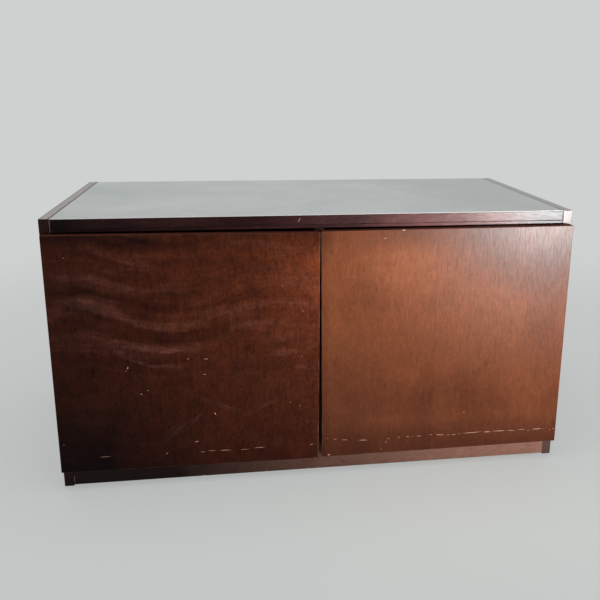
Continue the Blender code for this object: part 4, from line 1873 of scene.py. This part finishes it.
LEFT_RIPPLES = (
    Ripple(-0.314, 0.397, 0.076, 0.0060, -0.054, 0.14, 0.25),
    Ripple(-0.338, 0.439, 0.031, 0.0048, -0.029, 1.14, 0.14),
    Ripple(-0.416, 0.420, 0.030, 0.0084, -0.468, -2.15, 0.12),
    Ripple(-0.435, 0.383, 0.026, 0.0042, -0.139, 0.27, 0.20),
    Ripple(-0.295, 0.322, 0.091, 0.0066, -0.110, 3.16, 0.25),
    Ripple(-0.319, 0.284, 0.125, 0.0078, -0.122, 1.71, 0.25),
    Ripple(-0.279, 0.280, 0.044, 0.0054, -0.056, 2.72, 0.25),
    Ripple(-0.312, 0.251, 0.076, 0.0054, -0.194, 2.92, 0.22),
    Ripple(-0.367, 0.279, 0.025, 0.0048, -0.339, -2.68, 0.14),
    Ripple(-0.055, 0.269, 0.054, 0.0066, 0.158, 1.56, 0.22),
    Ripple(-0.024, 0.237, 0.027, 0.0072, -0.104, 5.22, 0.25),
    Ripple(-0.075, 0.432, 0.074, 0.0072, -0.086, -0.21, 0.14),
    Ripple(-0.043, 0.369, 0.042, 0.0084, -0.035, 3.46, 0.17),
    Ripple(-0.441, 0.406, 0.031, 0.0120, -0.333, 0.80, -0.07),
    Ripple(-0.429, 0.367, 0.048, 0.0135, -0.293, -0.08, -0.08),
    Ripple(-0.296, 0.363, 0.070, 0.0195, -0.020, 3.92, -0.08),
    Ripple(-0.283, 0.302, 0.061, 0.0150, 0.040, 7.20, -0.08),
    Ripple(-0.053, 0.288, 0.060, 0.0105, 0.191, 1.58, -0.10),
    Ripple(-0.155, 0.445, 0.023, 0.0090, -0.754, 0.93, -0.10),
    Ripple(-0.048, 0.463, 0.053, 0.0075, -0.001, -0.83, -0.07),
    Ripple(-0.377, 0.420, 0.026, 0.0105, -0.649, 11.94, -0.07),
    Ripple(-0.333, 0.491, 0.025, 0.0090, -0.023, -2.91, -0.07),
    Ripple(-0.046, 0.400, 0.052, 0.0090, -0.076, 0.11, -0.06),
    Ripple(-0.313, 0.260, 0.063, 0.0075, -0.020, 1.59, -0.07),
)
LEFT_DOOR_VENEER = Veneer(
    "veneer_left_door",
    dark=Tint(25, 8, 8),
    light=Tint(134, 65, 38),
    seed=3.1,
    streaks=0.82,
    mottle=1.35,
    clouds=0.26,
    curl=0.06,
    patches=(
        Patch(-0.310, 0.385, 0.270, 0.180, curl=0.54),
        Patch(-0.070, 0.380, 0.150, 0.190, curl=0.40, tone=0.03),
        Patch(-0.260, 0.310, 0.130, 0.070, tone=0.04),
        Patch(-0.020, 0.360, 0.110, 0.130, tone=0.12),
        Patch(-0.250, 0.508, 0.600, 0.045, tone=-0.20),
        Patch(-0.470, 0.240, 0.120, 0.160, tone=0.05),
        Patch(-0.460, 0.420, 0.090, 0.090, tone=-0.05),
        Patch(-0.020, 0.070, 0.170, 0.110, tone=-0.07),
        Patch(0.000, 0.415, 0.040, 0.085, tone=0.28),
    ),
    ripples=LEFT_RIPPLES,
    bend=1.5,
    middle=-0.28,
    tone=0.29,
    # painted shade: lean and rise darken the door towards its lower left, away from the key lamp
    lean=0.80,
    rise=0.62,
    centre=(-0.25, 0.272),
    leaves=(Leaf(-0.173, 0.0),),
    gloss=0.06,
    arris_wear_and_light=(
        ArrisWearAndLight(
            (-0.497, DOOR_FRONT, 0.0405),
            (-0.00225, DOOR_BACK, 0.5100),
            width=0.0011,
            strength=0.55,
            tint=Tint(120, 82, 70),
        ),
        # painted highlight: a pale line along the door's inner upright arris only, where the light
        # catches it
        ArrisWearAndLight(
            (-0.600, DOOR_FRONT, -0.100),
            (-0.00225, DOOR_BACK, 0.600),
            width=0.0019,
            strength=0.60,
            tint=Tint(132, 98, 90),
        ),
    ),
    rubs=(
        Rub(-0.283, 0.114, 38.0, 0.034, 0.012),
        Rub(-0.246, 0.136, 42.0, 0.034, 0.006),
        Rub(-0.114, 0.160, 26.0, 0.044, 0.008),
        Rub(-0.190, 0.166, -22.0, 0.046, 0.006),
    ),
    pivot=LEFT_PIVOT,
    droop=LEFT_DROOP,
)
RIGHT_DOOR_VENEER = Veneer(
    "veneer_right_door",
    dark=Tint(66, 25, 13),
    light=Tint(183, 105, 66),
    seed=7.4,
    streaks=0.42,
    mottle=0.62,
    clouds=0.34,
    curl=0.05,
    patches=(
        Patch(0.085, 0.350, 0.070, 0.090, tone=-0.05),
        # painted shade: the next two patches darken the door beside the gap between the doors
        Patch(0.000, 0.490, 0.032, 0.065, tone=-0.26),
        Patch(0.000, 0.260, 0.020, 0.320, tone=-0.10),
        Patch(0.100, 0.510, 0.180, 0.060, tone=-0.22),
        Patch(0.230, 0.162, 0.210, 0.060, tone=-0.085),
        Patch(0.390, 0.085, 0.110, 0.045, tone=0.050),
        Patch(0.450, 0.285, 0.055, 0.130, tone=-0.13),
        Patch(0.170, 0.420, 0.100, 0.080, tone=0.10),
        Patch(0.250, 0.050, 0.420, 0.070, tone=-0.12),
        Patch(0.500, 0.530, 0.320, 0.200, tone=-0.56),
        Patch(0.235, 0.510, 0.150, 0.070, tone=-0.16),
    ),
    tone=0.46,
    # painted shade: rise darkens the door towards the bottom, and lean a little towards the left
    lean=0.10,
    rise=1.00,
    leaves=(Leaf(0.227, 0.03),),
    roughness=0.32,
    gloss=0.14,
    polish=Polish(0.500, 0.480, 0.500, 0.350, 1.00),
    coat_roughness=0.35,
    relief=0.00012,
    arris_wear_and_light=(
        # rubbed arrises, and along the bottom arris the pale tint is also a painted highlight
        ArrisWearAndLight(
            (0.00225, DOOR_FRONT, 0.0405),
            (0.497, DOOR_BACK, 0.5100),
            width=0.0010,
            strength=0.5,
            tint=Tint(176, 130, 108),
        ),
    ),
    pivot=RIGHT_PIVOT,
    droop=RIGHT_DROOP,
)
LEFT_SIDE_VENEER = Veneer(
    "veneer_left_side",
    dark=Tint(46, 21, 16),
    light=Tint(112, 60, 42),
    seed=1.7,
    curl=0.10,
    tone=0.45,
    roughness=0.30,
    gloss=0.12,
    # painted reflection: the top edge's grey, paler on this side
    painted_top_reflection=Tint(150, 142, 139),
    front=Tint(34, 13, 15),
)
RIGHT_SIDE_VENEER = replace(
    LEFT_SIDE_VENEER,
    name="veneer_right_side",
    dark=Tint(50, 23, 17),
    light=Tint(120, 66, 46),
    seed=8.3,
    polish=Polish(0.500, 0.530, 0.100, 0.160, 0.95),
    # painted reflection: the top edge's grey, darker on this side
    painted_top_reflection=Tint(112, 109, 109),
    # painted light: the front edge is paler on this side, where the key lamp's glare falls
    front=Tint(116, 92, 86),
)
EDGE_VENEER = Veneer(
    "veneer_edge",
    dark=Tint(20, 5, 9),
    light=Tint(154, 90, 85),
    grain=Grain.ALONG,
    seed=5.2,
    streaks=0.70,
    mottle=0.90,
    patches=(
        Patch(0.260, 0.520, 0.200, 1.0, tone=0.34),
        Patch(0.500, 0.520, 0.150, 1.0, tone=-0.25),
    ),
    tone=0.15,
    # painted light: lean makes the band paler towards the right, where the key lamp's glare falls
    lean=0.27,
    roughness=0.24,
    gloss=0.08,
    polish=Polish(0.560, 0.520, 0.700, 1.0, 0.86),
    coat_roughness=0.31,
    relief=0.00016,
    arris_wear_and_light=(
        # painted shade: dark lines along the band's top and bottom arrises and its ends, the shade
        # in the gaps beside it
        ArrisWearAndLight(
            (-0.4817, CARCASS_FRONT, 0.511),
            (0.4817, -0.228, 0.5287),
            width=0.0009,
            strength=0.90,
            tint=Tint(16, 6, 8),
        ),
    ),
)
BATTEN_VENEER = replace(EDGE_VENEER, name="veneer_batten", seed=6.7, arris_wear_and_light=())
PLINTH_VENEER = Veneer(
    "veneer_plinth",
    dark=Tint(40, 21, 20),
    light=Tint(204, 148, 128),
    grain=Grain.ALONG,
    seed=9.9,
    streaks=0.3,
    tone=0.33,
    # painted light: lean makes the plinth paler towards the right, where the key lamp falls
    lean=1.08,
    gloss=0.12,
    arris_wear_and_light=(
        ArrisWearAndLight(
            (-0.482, CARCASS_FRONT, -0.100),
            (0.482, -0.212, 0.200),
            width=0.0022,
            strength=0.90,
            tint=Tint(24, 12, 12),
        ),
    ),
)
DOOR_EDGE = Veneer(
    "veneer_door_edge",
    dark=Tint(30, 12, 10),
    light=Tint(84, 42, 30),
    seed=14.1,
    roughness=0.38,
    gloss=0.12,
)
DOOR_LINING = Veneer(
    "veneer_door_lining",
    dark=Tint(70, 32, 22),
    light=Tint(132, 74, 50),
    seed=12.6,
    roughness=0.42,
    gloss=0.15,
)
INNER_UPRIGHT = Veneer(
    "inner_veneer_upright",
    dark=Tint(104, 60, 40),
    light=Tint(158, 104, 74),
    seed=2.2,
    roughness=0.5,
    gloss=0.15,
    front=Tint(26, 13, 12),
)
INNER_ALONG = replace(
    INNER_UPRIGHT, name="inner_veneer_along", grain=Grain.ALONG, seed=4.6, front=None
)
ZINC = steel("zinc_plate", Tint(206, 207, 208), Tint(186, 188, 190), 0.34)
PIN_STEEL = steel("plain_steel", Tint(172, 174, 178), Tint(120, 122, 126), 0.24)
LATCH_PLASTIC = Plain(
    "brown_plastic",
    Tint(66, 45, 35),
    Tint(82, 57, 45),
    touch=Touch(0.45, 0.08, 90.0),
    patches=((60.0, 60.0, 60.0), 2.0),
    texture=((2200.0, 2200.0, 2200.0), 2.0),
    relief=0.00003,
    ramp=MIDDLE_RAMP,
)

STRIPS = (
    WornStrip(
        "top_front_band",
        "top_edge_band",
        EDGE_VENEER,
        "edge_veneer",
        arris=0.0004,
        cuts=BAND_CUTS,
        seed=13,
    ),
    WornStrip(
        "top_front_batten",
        "top_batten",
        BATTEN_VENEER,
        "edge_veneer",
        arris=0.0006,
        cuts=(JOINT_HIGHLIGHT,),
        seed=14,
    ),
    WornStrip(
        "front_plinth",
        "plinth_front",
        PLINTH_VENEER,
        "veneer",
        arris=0.0008,
        cuts=PLINTH_CUTS,
        seed=15,
    ),
)

CARCASS_FINISHES: dict[str, Finish] = {
    "side_panel_left": LEFT_SIDE_VENEER,
    "side_panel_right": RIGHT_SIDE_VENEER,
    "top_panel": INNER_ALONG,
    "top_laminate": Laminate(),
    "bottom_panel": INNER_ALONG,
    "back_panel": Hardboard(),
    "plinth_back": INNER_ALONG,
    "plinth_cross_rail": INNER_ALONG,
    "centre_partition": INNER_UPRIGHT,
    "shelf_left": INNER_ALONG,
    "shelf_right": INNER_ALONG,
    "shelf_pin": PIN_STEEL,
    "hinge_arm_pin": PIN_STEEL,
    "hinge_cup_pin": PIN_STEEL,
    "latch": LATCH_PLASTIC,
    "strike_plate": ZINC,
}

STUDIO = Studio(
    lamps=(
        Lamp("key", (1.02, -1.54, 0.40), (0.40, -0.25, 0.52), (0.24, 0.15), watts=2.1, spread=58.0),
        Lamp("overhead", (-0.05, -0.25, 2.40), (0.0, 0.0, 0.30), (2.40, 2.00), watts=35.0),
    )
)


def main() -> None:
    """Builds every class in order."""
    logging.basicConfig(level=logging.INFO, format="%(name)s: %(message)s")
    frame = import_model()
    STUDIO.build()
    pieces = (
        Door(Side.LEFT, LEFT_DOOR_VENEER, LEFT_SCRATCHES, LEFT_CHIPS, seed=11),
        Door(Side.RIGHT, RIGHT_DOOR_VENEER, RIGHT_SCRATCHES, RIGHT_CHIPS, seed=12),
        *STRIPS,
        BackNails(),
    )
    for piece in pieces:
        made = piece.build()
        LOG.info("%s has %d faces", made.name, len(made.data.polygons))
    HingeSteel(frame["nodes"], ZINC).build()
    Carcass(frame["nodes"], CARCASS_FINISHES).dress()


if __name__ == "__main__":
    main()
